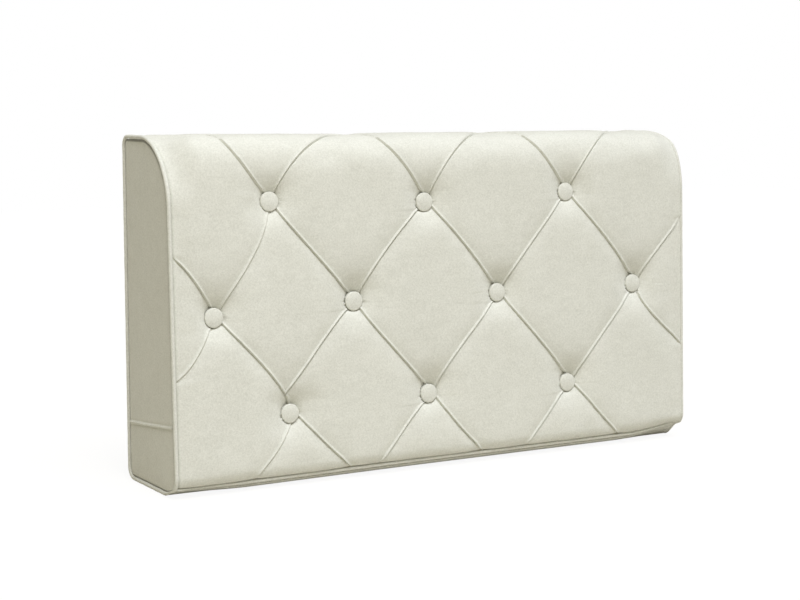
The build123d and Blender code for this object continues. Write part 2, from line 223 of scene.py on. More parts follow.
def shell(outer, inner, step=1):
    # closed layer between two grids: the whole outer one, every step-th line of the inner one,
    # and walls along the four borders
    rows, columns = outer.shape[:2]
    keepRows = np.unique(np.r_[0:rows:step, rows - 1])
    keepColumns = np.unique(np.r_[0:columns:step, columns - 1])
    thinned = inner[np.ix_(keepRows, keepColumns)]
    index = np.arange(rows * columns).reshape(rows, columns)
    far = np.arange(thinned[..., 0].size).reshape(thinned.shape[:2]) + rows * columns
    points = np.concatenate([outer.reshape(-1, 3), thinned.reshape(-1, 3)])
    faces = gridQuads(rows, columns).tolist()
    faces += (gridQuads(*far.shape)[:, ::-1] + rows * columns).tolist()
    borders = [(index[0], far[0], keepColumns), (index[-1], far[-1], keepColumns),
               (index[:, 0], far[:, 0], keepRows), (index[:, -1], far[:, -1], keepRows)]
    for fine, coarse, kept in borders:
        for k, (a, b) in enumerate(zip(kept, kept[1:])):
            faces.append([*fine[a:b + 1].tolist(), int(coarse[k + 1]), int(coarse[k])])
    return points, faces


def ringFaces(rings, sides, closed=False):
    # quads between neighbouring rings, which close on the first ring or are capped at both ends
    faces = gridQuads(rings, sides, closeRows=closed, closeColumns=True).tolist()
    if not closed:
        faces += [list(range(sides)), [(rings - 1) * sides + k for k in range(sides)]]
    return faces


def tube(path, across, radius, sides, closed=True):
    # circle carried along a path; "across" is a direction square to the path at each point
    step = np.roll(path, -1, 0) - np.roll(path, 1, 0)
    if not closed:
        step[0], step[-1] = path[1] - path[0], path[-1] - path[-2]
    along = step / np.linalg.norm(step, axis=1, keepdims=True)
    across = across - along * np.sum(across * along, 1, keepdims=True)
    across /= np.linalg.norm(across, axis=1, keepdims=True)
    third = np.cross(along, across)
    turn = np.linspace(0, 2 * math.pi, sides, endpoint=False)[None, :, None]
    ring = np.cos(turn) * across[:, None] + np.sin(turn) * third[:, None]
    return path[:, None] + ring * np.reshape(radius, (-1, 1, 1)), ringFaces(len(path), sides, closed)


# Materials: all patterns read Object coordinates
def setInputs(tree, node, inputs):
    # an input is linked where it is given another node's output, and set to the value otherwise
    for key, source in inputs.items():
        if isinstance(source, bpy.types.NodeSocket):
            tree.links.new(source, node.inputs[key])
        else:
            node.inputs[key].default_value = source


def addNode(tree, kind, inputs=None, **settings):
    # one shader node with its settings and inputs
    node = tree.nodes.new(kind)
    for key, value in settings.items():
        setattr(node, key, value)
    setInputs(tree, node, inputs or {})
    return node


def newMaterial(name):
    # a material, its tree, its shader and the coordinates that its patterns read
    material = bpy.data.materials.new(name)
    material.use_nodes = True
    tree = material.node_tree
    place = addNode(tree, "ShaderNodeTexCoord").outputs["Object"]
    return material, tree, tree.nodes["Principled BSDF"], place


def maths(tree, operation, *sources):
    # what a maths node gives for its sources
    return addNode(tree, "ShaderNodeMath", dict(enumerate(sources)), operation=operation).outputs[0]


def colourRamp(tree, source, stops):
    # colour by the source's value, blended between stops of (value, colour)
    node = addNode(tree, "ShaderNodeValToRGB", {"Fac": source})
    ramp = node.color_ramp
    while len(ramp.elements) < len(stops):
        ramp.elements.new(0.5)
    for element, (place, colour) in zip(ramp.elements, stops):
        element.position = place
        element.color = (*colour, 1)
    return node.outputs["Color"]


def noiseOf(tree, place, scale, detail=4, roughness=0.6):
    # soft random spots, smaller for a larger scale
    inputs = {"Vector": place, "Scale": scale, "Detail": detail, "Roughness": roughness}
    return addNode(tree, "ShaderNodeTexNoise", inputs).outputs["Fac"]


def weighted(tree, parts):
    # sum of each source times its weight
    total = maths(tree, "MULTIPLY", *parts[0])
    for source, weight in parts[1:]:
        total = maths(tree, "MULTIPLY_ADD", source, weight, total)
    return total


def roughened(tree, shader, layers):
    # bump layers of (height, strength, distance), each over the one before
    inputs = {}
    for source, strength, distance in layers:
        inputs.update({"Height": source, "Strength": strength, "Distance": distance})
        inputs["Normal"] = addNode(tree, "ShaderNodeBump", inputs).outputs["Normal"]
    tree.links.new(inputs["Normal"], shader.inputs["Normal"])


velvetLook = dict(
    light=(0.782, 0.784, 0.718),
    middle=(0.692, 0.694, 0.628),
    dark=(0.602, 0.604, 0.538),
    roughness=(0.82, 0.98),
    gloss=0.15,
    sheen=0.18,
    sheenRoughness=0.5,
    sheenTint=(1.0, 1.0, 0.97),
    patchScale=14,
    streakScale=90,
    napScale=360,
    grainScale=700,
    shares=(0.09, 0.17, 0.46, 0.28),
    stops=(0.36, 0.5, 0.64),
)


def velvet(name, look):
    # short pile: wide soft patches, short streaks where it was brushed, and two sizes of nap;
    # a piece's attribute of painted shade darkens its colour along its seams, standing in for the shadow in
    # the gap beside the piping
    material, tree, shader, place = newMaterial(name)
    brushed = addNode(tree, "ShaderNodeMapping", {"Vector": place, "Scale": (0.45, 1, 1)}).outputs["Vector"]
    patch = noiseOf(tree, place, look["patchScale"], 5)
    streak = noiseOf(tree, brushed, look["streakScale"], 4, 0.65)
    nap = noiseOf(tree, place, look["napScale"], 3, 0.7)
    grain = noiseOf(tree, place, look["grainScale"], 2, 0.6)
    mixed = weighted(tree, list(zip((patch, streak, nap, grain), look["shares"])))
    cloth = colourRamp(tree, mixed, list(zip(look["stops"], (look["dark"], look["middle"], look["light"]))))
    # painted shade: the cloth's colour times one minus the piece's painted-shade attribute, which is zero on
    # pieces without it
    paintedShade = addNode(tree, "ShaderNodeAttribute", attribute_name="paintedShade").outputs["Fac"]
    darkening = {0: cloth, 1: maths(tree, "SUBTRACT", 1.0, paintedShade)}
    clothWithPaintedShade = addNode(tree, "ShaderNodeVectorMath", darkening, operation="MULTIPLY").outputs[0]
    low, high = look["roughness"]
    rough = addNode(tree, "ShaderNodeMapRange", {"Value": mixed, "To Min": low, "To Max": high})
    roughened(tree, shader, [(nap, 0.35, 0.5 * mm), (grain, 0.30, 0.25 * mm), (streak, 0.25, 0.8 * mm)])
    setInputs(tree, shader, {
        "Base Color": clothWithPaintedShade, "Roughness": rough.outputs["Result"], "Sheen Weight": look["sheen"],
        "Sheen Roughness": look["sheenRoughness"], "Sheen Tint": (*look["sheenTint"], 1),
        "Specular IOR Level": look["gloss"]})
    return material


def timber(name, pale, dark, ringScale, roughness, stretch):
    # growth rings from a wave bent by noise, and pores along the grain
    material, tree, shader, place = newMaterial(name)
    way = addNode(tree, "ShaderNodeMapping", {"Vector": place, "Scale": stretch}).outputs["Vector"]
    rings = addNode(tree, "ShaderNodeTexWave", {
        "Vector": way, "Scale": ringScale, "Distortion": 9, "Detail": 3, "Detail Scale": 1.4})
    pores = noiseOf(tree, way, 420)
    mixed = weighted(tree, [(rings.outputs["Fac"], 0.5), (pores, 0.5)])
    roughened(tree, shader, [(pores, 0.2, 0.3 * mm)])
    colour = colourRamp(tree, mixed, [(0.3, dark), (0.7, pale)])
    setInputs(tree, shader, {"Base Color": colour, "Roughness": roughness})
    return material


def speckled(name, pale, dark, scale, roughness, metallic=0.0, strength=0.3):
    # cells, fibres or grain of one size, in two tones
    material, tree, shader, place = newMaterial(name)
    noise = noiseOf(tree, place, scale, 5, 0.65)
    roughened(tree, shader, [(noise, strength, 0.4 * mm)])
    colour = colourRamp(tree, noise, [(0.35, dark), (0.65, pale)])
    setInputs(tree, shader, {"Base Color": colour, "Roughness": roughness, "Metallic": metallic})
    return material


def bondedCloth(name, pale, dark, pitch):
    # thin bonded cloth: a small embossed square pattern over matted fibres
    material, tree, shader, place = newMaterial(name)
    ridges = {"Vector": place, "Scale": 0.05 / pitch, "Distortion": 0.4, "Detail": 1}
    waves = [addNode(tree, "ShaderNodeTexWave", ridges, bands_direction=way).outputs["Fac"] for way in "XZ"]
    mixed = weighted(tree, [(maths(tree, "MULTIPLY", *waves), 0.5), (noiseOf(tree, place, 350, 5), 0.6)])
    roughened(tree, shader, [(mixed, 0.4, 0.3 * mm)])
    colour = colourRamp(tree, mixed, [(0.2, dark), (0.75, pale)])
    setInputs(tree, shader, {"Base Color": colour, "Roughness": 0.9})
    return material


finishOf = {
    "cream_velvet": velvet("cream velvet", velvetLook),
    "cream_piping": velvet("cream velvet piping", {**velvetLook, "patchScale": 30}),
    "cream_button": velvet("cream velvet button", {**velvetLook, "patchScale": 45}),
    "white_wadding": speckled("white wadding", (0.86, 0.86, 0.84), (0.7, 0.7, 0.68), 160, 0.95, strength=0.8),
    "yellow_foam": speckled("yellow foam", (0.80, 0.68, 0.36), (0.62, 0.50, 0.24), 500, 0.95, strength=0.7),
    "birch_plywood": timber("birch plywood", (0.74, 0.58, 0.38), (0.56, 0.41, 0.24), 14, 0.6, (1, 1, 0.12)),
    "pine": timber("pine", (0.78, 0.60, 0.36), (0.60, 0.40, 0.20), 10, 0.55, (0.08, 1, 1)),
    "grey_dust_cloth": bondedCloth("grey dust cloth", (0.10, 0.10, 0.105), (0.035, 0.035, 0.04), 1.6 * mm),
    "zinc_steel": speckled("zinc steel", (0.66, 0.67, 0.68), (0.50, 0.51, 0.53), 240, 0.35, 1.0, 0.1),
    "button_steel": speckled("button steel", (0.45, 0.45, 0.46), (0.32, 0.32, 0.33), 300, 0.4, 1.0, 0.1),
    "nylon_washer": speckled("nylon washer", (0.82, 0.81, 0.77), (0.74, 0.73, 0.69), 200, 0.45, strength=0.1),
    "waxed_twine": speckled("waxed twine", (0.72, 0.64, 0.48), (0.50, 0.42, 0.28), 900, 0.7, strength=0.8),
}
for name, node in nodes.items():
    node.data.materials[0] = finishOf[slotOf[name]]
print("materials made")

# Buttons: their places on the unrolled surface, read from the frame
buttonLook = dict(
    middleDepth=14 * mm,
    radius=14.3 * mm,
    crownDepth=9.7 * mm,
    edgeDepth=11.1 * mm,
    footDepth=17.6 * mm,
    footRadius=14 * mm,
    domePower=2.2,
    edge=1.9 * mm,
    gathers=14,
    gatherDepth=0.008,
    sides=48,
)


def placeOfButton(name):
    # x of the cap's middle, and the up whose surface point, sunk by the cap's depth, is nearest to it
    low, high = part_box(name)
    middle = np.array((low + high) / 2)
    ups = np.arange(0, topEnd, 0.1 * mm)
    point, normal = surfaceAt(middle[0], ups)
    gap = np.linalg.norm(point - normal * buttonLook["middleDepth"] - middle, axis=1)
    return middle[0], ups[np.argmin(gap)]


buttons = {
    name[len("button_"):]: placeOfButton(name)
    for name in sorted(nodes)
    if name.startswith(("button_top", "button_middle", "button_bottom"))
}
buttonPlaces = np.array(list(buttons.values()))

# Folds, as strings that run from the base up to the hem through the buttons. Places are in millimetres as
# (x, up), as they look from "seenFrom" on the undented surface. A stretch gives the place where it starts,
# the sideways bow at its two thirds, and how soft its fold is.
foldPlaces = dict(
    T1=(-302.2, 416.5), T2=(-42.1, 408.9), T3=(218, 416.5),
    M1=(-391.5, 255.4), M2=(-167.1, 264.5), M3=(88, 264.5), M4=(353.2, 263),
    B1=(-271.6, 109.5), B2=(-34.5, 115.6), B3=(223.1, 112.5),
    J=(-284.5, 137), P=(-101, 577), Q=(146, 575),
    backP=(-101, 720), backQ=(146, 720),
    lowEdge=(-451.2, 166), highEdge=(-451.2, 343), lowRight=(451.2, 157), highRight=(451.2, 370),
    crestL=(-355, 553), topL=(-402, 625), backL=(-402, 720),
    crestR=(368, 553), topR=(405, 625), backR=(405, 720),
    base1=(-350, 0), base2=(-158, 0), base3=(-142, 0), base4=(72, 0), base5=(123, 0), base6=(340, 0),
)
foldStrings = [
    [("lowEdge", 16, 8, 0.9), ("M1", 6, 8, 0), ("highEdge", 0, 0, 0)],
    [("base1", 13, 23, 0.9), ("B1", -12, 2, 0), ("J", 11, 4, 0), ("M1", 13, 32, 0.8),
     ("T1", -18, -15, 0), ("crestL", -14, -6, 0), ("topL", 0, 0, 0), ("backL", 0, 0, 0)],
    [("base2", -8, 4, 0), ("B1", -12, 2, 0), ("J", 5, -10, 0), ("M2", 7, -3, 0),
     ("T1", -30, -34, 0), ("P", 0, 0, 0), ("backP", 0, 0, 0)],
    [("base3", 7, -17, 0), ("B2", 4, -5, 0), ("M2", -11, -9, 0), ("T2", -8, -15, 0), ("P", 0, 0, 0),
     ("backP", 0, 0, 0)],
    [("base4", -8, 1, 0), ("B2", -17, 8, 0), ("M3", 8, 12, 0), ("T2", -26, -21, 0), ("Q", 0, 0, 0),
     ("backQ", 0, 0, 0)],
    [("base5", 5, -6, 0), ("B3", 11, 2, 0), ("M3", -3, 5, 0), ("T3", -8, 17, 0), ("Q", 0, 0, 0),
     ("backQ", 0, 0, 0)],
    [("base6", -13, 11, 0), ("B3", -2, 7, 0), ("M4", 16, 11, 0), ("T3", -10, -4, 0), ("crestR", 14, 6, 0),
     ("topR", 0, 0, 0), ("backR", 0, 0, 0)],
    [("lowRight", -7, -24, 0), ("M4", -8, 5, 0), ("highRight", 0, 0, 0)],
]
foldLook = dict(
    seenFrom=(-1.4029, -2.3095, 0.5653),
    seenDepth=1.8 * mm,
    crease=2.1 * mm,
    creaseWidth=0.6 * mm,
    creaseSlope=0.85 * mm,
    lip=2.5 * mm,
    lipPlace=1.8 * mm,
    lipWidth=1.2 * mm,
    groove=0.25 * mm,
    groovePlace=3.7 * mm,
    grooveWidth=0.8 * mm,
    valley=1.6 * mm,
    valleyAtButton=3.2 * mm,
    valleyReach=12 * mm,
    buttonReach=14 * mm,
    fadeOnBack=0.3,
    fadeAtEnd=7 * mm,
    footShare=0.3,
    footFade=16 * mm,
    steps=90,
    sightTurns=14,
    sightEdge=20 * mm,
    sightFades=(0.08, 0.3),
    sightLeast=0.25,
    nearest=0.5 * mm,
    nearPower=-5.0,
    softDepth=0.7,
    softWidth=0.45,
    softLip=0.25,
    softGroove=0.8,
)


def buttonDistance(x, up):
    # distance to the nearest button, and the offset from it, on the unrolled surface
    dx = x[..., None] - buttonPlaces[:, 0]
    du = up[..., None] - buttonPlaces[:, 1]
    distance = np.hypot(dx, du)
    index = np.argmin(distance, -1)[..., None]
    return [np.take_along_axis(a, index, -1)[..., 0] for a in (distance, dx, du)]


dimpleLook = dict(
    cupRadius=14.6 * mm,
    rimDepth=11.2 * mm,
    upperDepth=15.5 * mm,
    floorDepth=18.4 * mm,
    reach=14.5 * mm,
    upperReach=21 * mm,
    rim=(0.2 * mm, -0.9 * mm),
    sideCrease=0.8 * mm,
    sideReach=13 * mm,
    sideRun=6 * mm,
    sideShare=(0.55, 0.95),
    sideAbove=7 * mm,
    sideBelow=3 * mm,
    drawInLeft=1.5 * mm,
    drawInRight=-2.5 * mm,
    drawInRun=38 * mm,
)


def bellOf(distance, du):
    # depth round a button: deeper and wider above it
    look = dimpleLook
    above = smooth(0.0, 0.9, du / np.maximum(distance, 1 * mm))
    depth = look["rimDepth"] + (look["upperDepth"] - look["rimDepth"]) * above
    reach = look["reach"] + (look["upperReach"] - look["reach"]) * above
    return depth * np.exp(-np.maximum(distance - look["cupRadius"], 0) / reach)


def valleyOf(distance):
    # depth of the wide valley along a fold, by the distance to the nearest button
    look = foldLook
    beyond = np.maximum(distance - dimpleLook["cupRadius"], 0)
    return look["valley"] + look["valleyAtButton"] * np.exp(-beyond / look["buttonReach"])


def behindSight(seenX, seenUp):
    # place on the padded form of a fold that is seen at a place of the plain form: moved against the sight
    # line's run on the surface, by the fold's height over the cosine between sight and normal
    look = foldLook
    x, up = seenX, seenUp
    onEdge = smooth(coverEndX, coverEndX - look["sightEdge"], np.abs(seenX))
    for turn in range(look["sightTurns"]):
        point, normal = surfaceAt(x, up)
        sight = point - np.array(look["seenFrom"])
        sight /= np.linalg.norm(sight, axis=-1, keepdims=True)
        facing = -np.sum(sight * normal, -1)
        distance, dx, du = buttonDistance(x, up)
        tall = fullness(x, up) - valleyOf(distance) - bellOf(distance, du) - look["seenDepth"]
        share = onEdge * tall * smooth(*look["sightFades"], facing) / np.maximum(facing, look["sightLeast"])
        rising = sight[..., 1] * normal[..., 2] - sight[..., 2] * normal[..., 1]
        x = (x + seenX - share * sight[..., 0]) / 2
        up = (up + seenUp - share * rising) / 2
    return x, np.maximum.accumulate(up) + np.arange(len(up)) * 1e-9


def stringAt(stretches, up):
    # x of a string at each up, its softness and strength: straight from place to place with a cubic bow,
    # as it is seen, then carried over to the padded form
    look = foldLook
    places = np.array([foldPlaces[name] for name, *rest in stretches]) * mm
    seenX, seenUp, softAt = [], [], []
    t = np.linspace(0, 1, look["steps"], endpoint=False)
    for start, end, (name, low, high, softness) in zip(places, places[1:], stretches):
        bow = 3 * t * (1 - t) ** 2 * low * mm + 3 * t ** 2 * (1 - t) * high * mm
        seenX.append(start[0] + (end[0] - start[0]) * t + bow)
        seenUp.append(start[1] + (end[1] - start[1]) * t)
        softAt.append(np.full_like(t, softness))
    lineX, lineUp = behindSight(np.concatenate(seenX), np.concatenate(seenUp))
    x = np.interp(up, lineUp, lineX)
    soft = np.interp(up, lineUp, np.concatenate(softAt))
    strength = ((up >= lineUp[0]) & (up <= places[-1, 1])).astype(float)
    strength = strength * (1 - (1 - look["fadeOnBack"]) * smooth(shoulderEnd, topEnd, up))
    strength = strength * smooth(coverEndX, coverEndX - look["fadeAtEnd"], np.abs(x))
    byFoot = look["footShare"] + (1 - look["footShare"]) * smooth(upFoot, upFoot + look["footFade"], up)
    return np.clip(x, -coverEndX, coverEndX), soft, strength * byFoot


def foldLines(up):
    # all strings at each up, kept in order from left to right, with their slopes
    x, soft, strength = (np.stack(part) for part in zip(*[stringAt(string, up) for string in foldStrings]))
    x = np.maximum.accumulate(x, 0)
    return x, np.gradient(x, up, axis=1), soft, strength


def foldDistance(x, up):
    # soft minimum of the distances square to the folds, by the sum of their powers
    power = foldLook["nearPower"]
    total = np.zeros_like(x)
    for lineX, slope, soft, strength in zip(*foldLines(up[:, 0])):
        reach = np.abs(x - lineX[:, None]) / np.sqrt(1 + slope ** 2)[:, None]
        total += strength[:, None] * np.maximum(reach, foldLook["nearest"]) ** power
    return np.maximum(total, 1e-20) ** (1 / power)


def softSurface(x, up):
    # height of the padding without its sharp folds: valleys along the folds, a bell that steepens to the
    # cup under each button with a short crease to each side, drawn-in ends, and the shoulder's fullness
    look = dimpleLook
    near = foldDistance(x, up)
    distance, dx, du = buttonDistance(x, up)
    beyond = np.maximum(distance - look["cupRadius"], 0)
    valley = -valleyOf(distance) * np.exp(-near / foldLook["valleyReach"])
    cup = smooth(*look["rim"], distance - look["cupRadius"])
    sideways = smooth(*look["sideShare"], np.abs(dx) / np.maximum(distance, 1 * mm))
    sideways = sideways * smooth(0, look["sideRun"], beyond)
    crease = look["sideCrease"] * np.exp(-beyond / look["sideReach"]) * sideways
    crease = crease * bump(du, 0, np.where(du > 0, look["sideAbove"], look["sideBelow"]))
    end = np.clip((np.abs(x) - (coverEndX - look["drawInRun"])) / look["drawInRun"], 0, 1)
    drawn = np.where(x < 0, look["drawInLeft"], look["drawInRight"]) * end ** 2
    open = valley - bellOf(distance, du) - crease - drawn
    return open + (-look["floorDepth"] - open) * cup + fullness(x, up)


# Fine creases that the tension leaves, as (x, up) to (x, up), the bow in the middle, width and depth,
# in millimetres
wrinkles = [
    (226, 447, 217, 489, 2, 2.6, 0.55),
    (233, 446, 231, 480, -2, 2.4, 0.45),
    (222, 445, 208, 472, 1, 2.6, 0.3),
    (-33, 439, -34, 478, 1, 2.6, 0.35),
    (-27, 438, -20, 466, -1, 2.6, 0.25),
    (-300, 447, -306, 474, 1, 2.6, 0.22),
    (-288, 448, -284, 470, -1, 2.6, 0.2),
    (68, 265, 40, 262, 1.5, 2.2, 0.5),
    (66, 255, 36, 247, -1.5, 2.6, 0.3),
    (124, 262, 152, 266, 1.5, 2.4, 0.3),
    (330, 268, 296, 274, -2, 2.4, 0.4),
    (332, 278, 305, 292, -2, 2.4, 0.25),
    (392, 263, 428, 262, 2, 2.4, 0.35),
    (95, 292, 94, 320, 1, 2.6, 0.25),
    (101, 292, 107, 315, -1, 2.6, 0.2),
    (362, 292, 366, 322, 1, 2.6, 0.4),
    (354, 291, 350, 312, 1, 2.6, 0.3),
    (-387, 284, -391, 306, 1, 2.6, 0.3),
    (-159, 293, -160, 318, 1, 2.6, 0.25),
    (-268, 138, -262, 158, 1, 2.6, 0.2),
    (-31, 146, -31, 170, 1, 2.6, 0.25),
    (229, 140, 231, 166, 1, 2.6, 0.3),
    (224, 139, 218, 160, 1, 2.6, 0.2),
    (-60, 117, -86, 120, 1.5, 2.6, 0.25),
    (256, 110, 284, 108, 1.5, 2.6, 0.25),
    (-318, 417, -345, 421, 1.5, 2.6, 0.2),
    (-266, 416, -240, 418, 1.5, 2.6, 0.2),
    (200, 414, 172, 414, 1.5, 2.6, 0.25),
    (255, 414, 282, 410, 1.5, 2.6, 0.25),
]


def wrinkled(x, up):
    # for each crease a narrow groove along a bowed line, with tapered ends and a faint swell beside it
    total = np.zeros_like(x)
    for crease in wrinkles:
        x0, u0, x1, u1, bow, width, depth = np.array(crease) * mm
        run = np.array([x1 - x0, u1 - u0])
        length = np.hypot(*run)
        along = ((x - x0) * run[0] + (up - u0) * run[1]) / length ** 2
        off = ((x - x0) * run[1] - (up - u0) * run[0]) / length - 4 * bow * along * (1 - along)
        taper = smooth(-0.08, 0.2, along) * smooth(1.05, 0.45, along)
        total -= depth * taper * (bump(off, 0, width / 2) - 0.4 * bump(off, width, width * 0.7))
    return total


def uneven(x, up, size):
    # slow hand-made unevenness: a few crossing waves of 45 to 120 mm
    total = np.sin(x / 0.019 + 1.3) * np.sin(up / 0.023 + 0.4) + 0.8 * np.sin((x + up) / 0.031 + 2.1)
    total += 0.7 * np.sin((x - 0.6 * up) / 0.013 + 0.9) * np.sin((up + 0.3 * x) / 0.017)
    total += 0.6 * np.sin(up / 0.041 + x / 0.09)
    return size * total / 3


# Cloth simulation of the cover: a sheet of the same form, held along its folds, buttons and borders, is
# blown up a little, and how far it rose is added to the fine surface
clothLook = dict(
    cell=7 * mm,
    frames=20,
    settings=dict(
        quality=6, mass=0.2, tension_stiffness=18, compression_stiffness=18, shear_stiffness=6,
        bending_stiffness=0.5, use_pressure=True, uniform_pressure_force=4.0, shrink_min=-0.018,
        vertex_group_mass="held"),
    holdSteps=12,
    blurs=2,
    cap=3.2 * mm,
    heldNearFold=5 * mm,
    heldByButton=(26 * mm, 17 * mm),
    heldByBorder=(14 * mm, 2 * mm),
    plainRise=2.4 * mm,
    plainReach=30 * mm,
)


def riseOfCover(look):
    # grid of heights over (x, up)
    xs = np.linspace(-coverEndX, coverEndX, int(2 * coverEndX / look["cell"]))
    us = np.linspace(upFoot, upHem, int((upHem - upFoot) / look["cell"]))
    x, up = np.meshgrid(xs, us)
    near = foldDistance(x, up)
    point, normal = surfaceAt(x, up)
    start = point + normal * softSurface(x, up)[..., None]
    distance = buttonDistance(x, up)[0]
    border = np.minimum(coverEndX - np.abs(x), np.minimum(up - upFoot, upHem - up))
    held = np.maximum.reduce([
        bump(near, 0, look["heldNearFold"]),
        smooth(*look["heldByButton"], distance),
        smooth(*look["heldByBorder"], border)])
    mesh = bpy.data.meshes.new("cloth")
    mesh.from_pydata(start.reshape(-1, 3).tolist(), [], gridQuads(*x.shape).tolist())
    sheet = addObject("cloth", mesh)
    group = sheet.vertex_groups.new(name="held")
    levels = np.round(held.ravel() * look["holdSteps"]).astype(int)
    for level in range(1, look["holdSteps"] + 1):
        group.add(np.flatnonzero(levels == level).tolist(), level / look["holdSteps"], "REPLACE")
    modifier = sheet.modifiers.new("cloth", "CLOTH")
    settings = modifier.settings
    for key, value in look["settings"].items():
        setattr(settings, key, value)
    settings.effector_weights.gravity = 0
    modifier.collision_settings.use_collision = False
    modifier.point_cache.frame_start = 1
    modifier.point_cache.frame_end = look["frames"]
    for step in range(1, look["frames"] + 1):
        bpy.context.scene.frame_set(step)
    result = sheet.evaluated_get(bpy.context.evaluated_depsgraph_get()).data
    after = np.empty(start.size)
    result.vertices.foreach_get("co", after)
    rise = np.sum((after.reshape(start.shape) - start) * normal, -1)
    bpy.context.scene.frame_set(1)
    bpy.data.objects.remove(sheet)
    bpy.data.meshes.remove(mesh)
    least, most = np.percentile(rise, [5, 95]) / mm
    print("cloth rose by", round(float(least), 2), "to", round(float(most), 2), "mm")
    for turn in range(look["blurs"]):
        rise[1:-1] = (rise[:-2] + 2 * rise[1:-1] + rise[2:]) / 4
        rise[:, 1:-1] = (rise[:, :-2] + 2 * rise[:, 1:-1] + rise[:, 2:]) / 4
    return xs, us, look["cap"] * np.tanh(rise / look["cap"])


def sampled(field, x, up):
    # bilinear reading of a grid over (x, up)
    xs, us, values = field
    c = np.clip((x - xs[0]) / (xs[1] - xs[0]), 0, len(xs) - 1.001)
    r = np.clip((up - us[0]) / (us[1] - us[0]), 0, len(us) - 1.001)
    ci, ri = c.astype(int), r.astype(int)
    c, r = c - ci, r - ri
    low = values[ri, ci] * (1 - c) + values[ri, ci + 1] * c
    high = values[ri + 1, ci] * (1 - c) + values[ri + 1, ci + 1] * c
    return low * (1 - r) + high * r


# Front cover: a fine grid whose columns follow the folds and whose rows crowd at the buttons
coverLook = dict(
    rows=300,
    rowPitch=3.4 * mm,
    finePitch=1.25 * mm,
    fineReach=34 * mm,
    nearFold=(0, 0.35, 0.75, 1.2, 1.7, 2.3, 3.1, 4.3, 6.6, 10.5),
    middleColumns=20,
    settle=1.2 * mm,
    backing=4.6 * mm,
    leftRoll=4.0 * mm,
    rightRoll=2.2 * mm,
    rollDepth=0.92,
    footTuck=2.0 * mm,
    footTuckRun=4 * mm,
    uneven=0.45 * mm,
    riseFrom=(15 * mm, 34 * mm),
    flatterByButton=0.15,
    flatterReach=20 * mm,
)


def rowPlaces(look):
    # ups from foot to hem whose spacing shrinks near each button
    fine = np.arange(upFoot, upHem, 0.2 * mm)
    near = np.min(np.abs(fine[:, None] - buttonPlaces[:, 1]), 1)
    widen = smooth(look["fineReach"] * 0.6, look["fineReach"] * 1.5, near)
    pitch = look["finePitch"] + (look["rowPitch"] - look["finePitch"]) * widen
    count = np.concatenate([[0], np.cumsum(0.2 * mm / pitch)[:-1]])
    return np.interp(np.linspace(0, count[-1], look["rows"]), count, fine)


def stripGrid(up, look):
    # x of every grid point, with its distance square to the fold on each side of its strip
    lineX, slope, soft, strength = foldLines(up)
    edge = np.full((1, len(up)), coverEndX)
    still = 0 * edge
    lineX, slope = np.concatenate([-edge, lineX, edge]), np.concatenate([still, slope, still])
    soft, strength = np.concatenate([still, soft, still]), np.concatenate([still, strength, still])
    near = np.array(look["nearFold"]) * mm
    inner = np.linspace(0, 1, look["middleColumns"] + 2)[1:-1][None]
    inner = inner - 0.5 * np.sin(2 * math.pi * inner) / (2 * math.pi)
    parts = []
    for k in range(len(lineX) - 1):
        width = np.maximum(lineX[k + 1] - lineX[k], 0)[:, None]
        slantA, slantB = (np.sqrt(1 + slope[j] ** 2)[:, None] for j in (k, k + 1))
        offA = near * np.minimum(slantA, 0.4 * width / near[-1])
        offB = near * np.minimum(slantB, 0.4 * width / near[-1])
        middle = offA[:, -1:] + (width - offA[:, -1:] - offB[:, -1:]) * inner
        off = np.concatenate([offA, middle, (width - offB)[:, ::-1]], 1)
        sides = []
        for j, distance, side in ((k, off / slantA, 1), (k + 1, (width - off) / slantB, -1)):
            # a fold that leans right as it rises has its lip on its left, and the other way round
            lipHere = slope[j][:, None] * side <= 0
            sides.append(strength[j][:, None] * foldProfile(distance, lipHere, soft[j][:, None]))
        folded = np.where(np.abs(sides[0]) > np.abs(sides[1]), sides[0], sides[1])
        parts.append((lineX[k][:, None] + off, folded))
    return np.concatenate([p[0] for p in parts], 1), np.concatenate([p[1] for p in parts], 1)


def foldProfile(distance, lipHere, soft):
    # on one side a rounded lip with a fine groove behind it, on the other a slope out of the crease;
    # a soft fold is shallower, with a wider lip between two faint lines
    look = foldLook
    depth = look["crease"] * (1 - look["softDepth"] * soft)
    wide = 1 + look["softWidth"] * soft
    lip = look["lip"] * (1 - look["softLip"] * soft)
    lip = lip * bump(distance, look["lipPlace"] * wide, look["lipWidth"] * wide)
    groove = look["groove"] * (1 + look["softGroove"] * soft)
    groove = groove * bump(distance, look["groovePlace"] * wide, look["grooveWidth"])
    withLip = lip - groove - depth * np.exp(-((distance / look["creaseWidth"]) ** 1.5))
    plain = -depth * np.exp(-((distance / look["creaseSlope"]) ** 1.2))
    return np.where(lipHere, withLip, plain)


coverField = riseOfCover(clothLook)
rowUps = rowPlaces(coverLook)
coverX, foldHeight = stripGrid(rowUps, coverLook)
coverUp = np.broadcast_to(rowUps[:, None], coverX.shape)


def paddingHeight(x, up):
    # soft surface with the rise of the cloth, without folds
    away = smooth(*coverLook["riseFrom"], buttonDistance(x, up)[0])
    rise = sampled(coverField, x, up) + uneven(x, up, coverLook["uneven"]) - coverLook["settle"]
    rise = rise - coverLook["settle"] * smooth(frontEnd, shoulderEnd, up)
    return softSurface(x, up) + rise * away


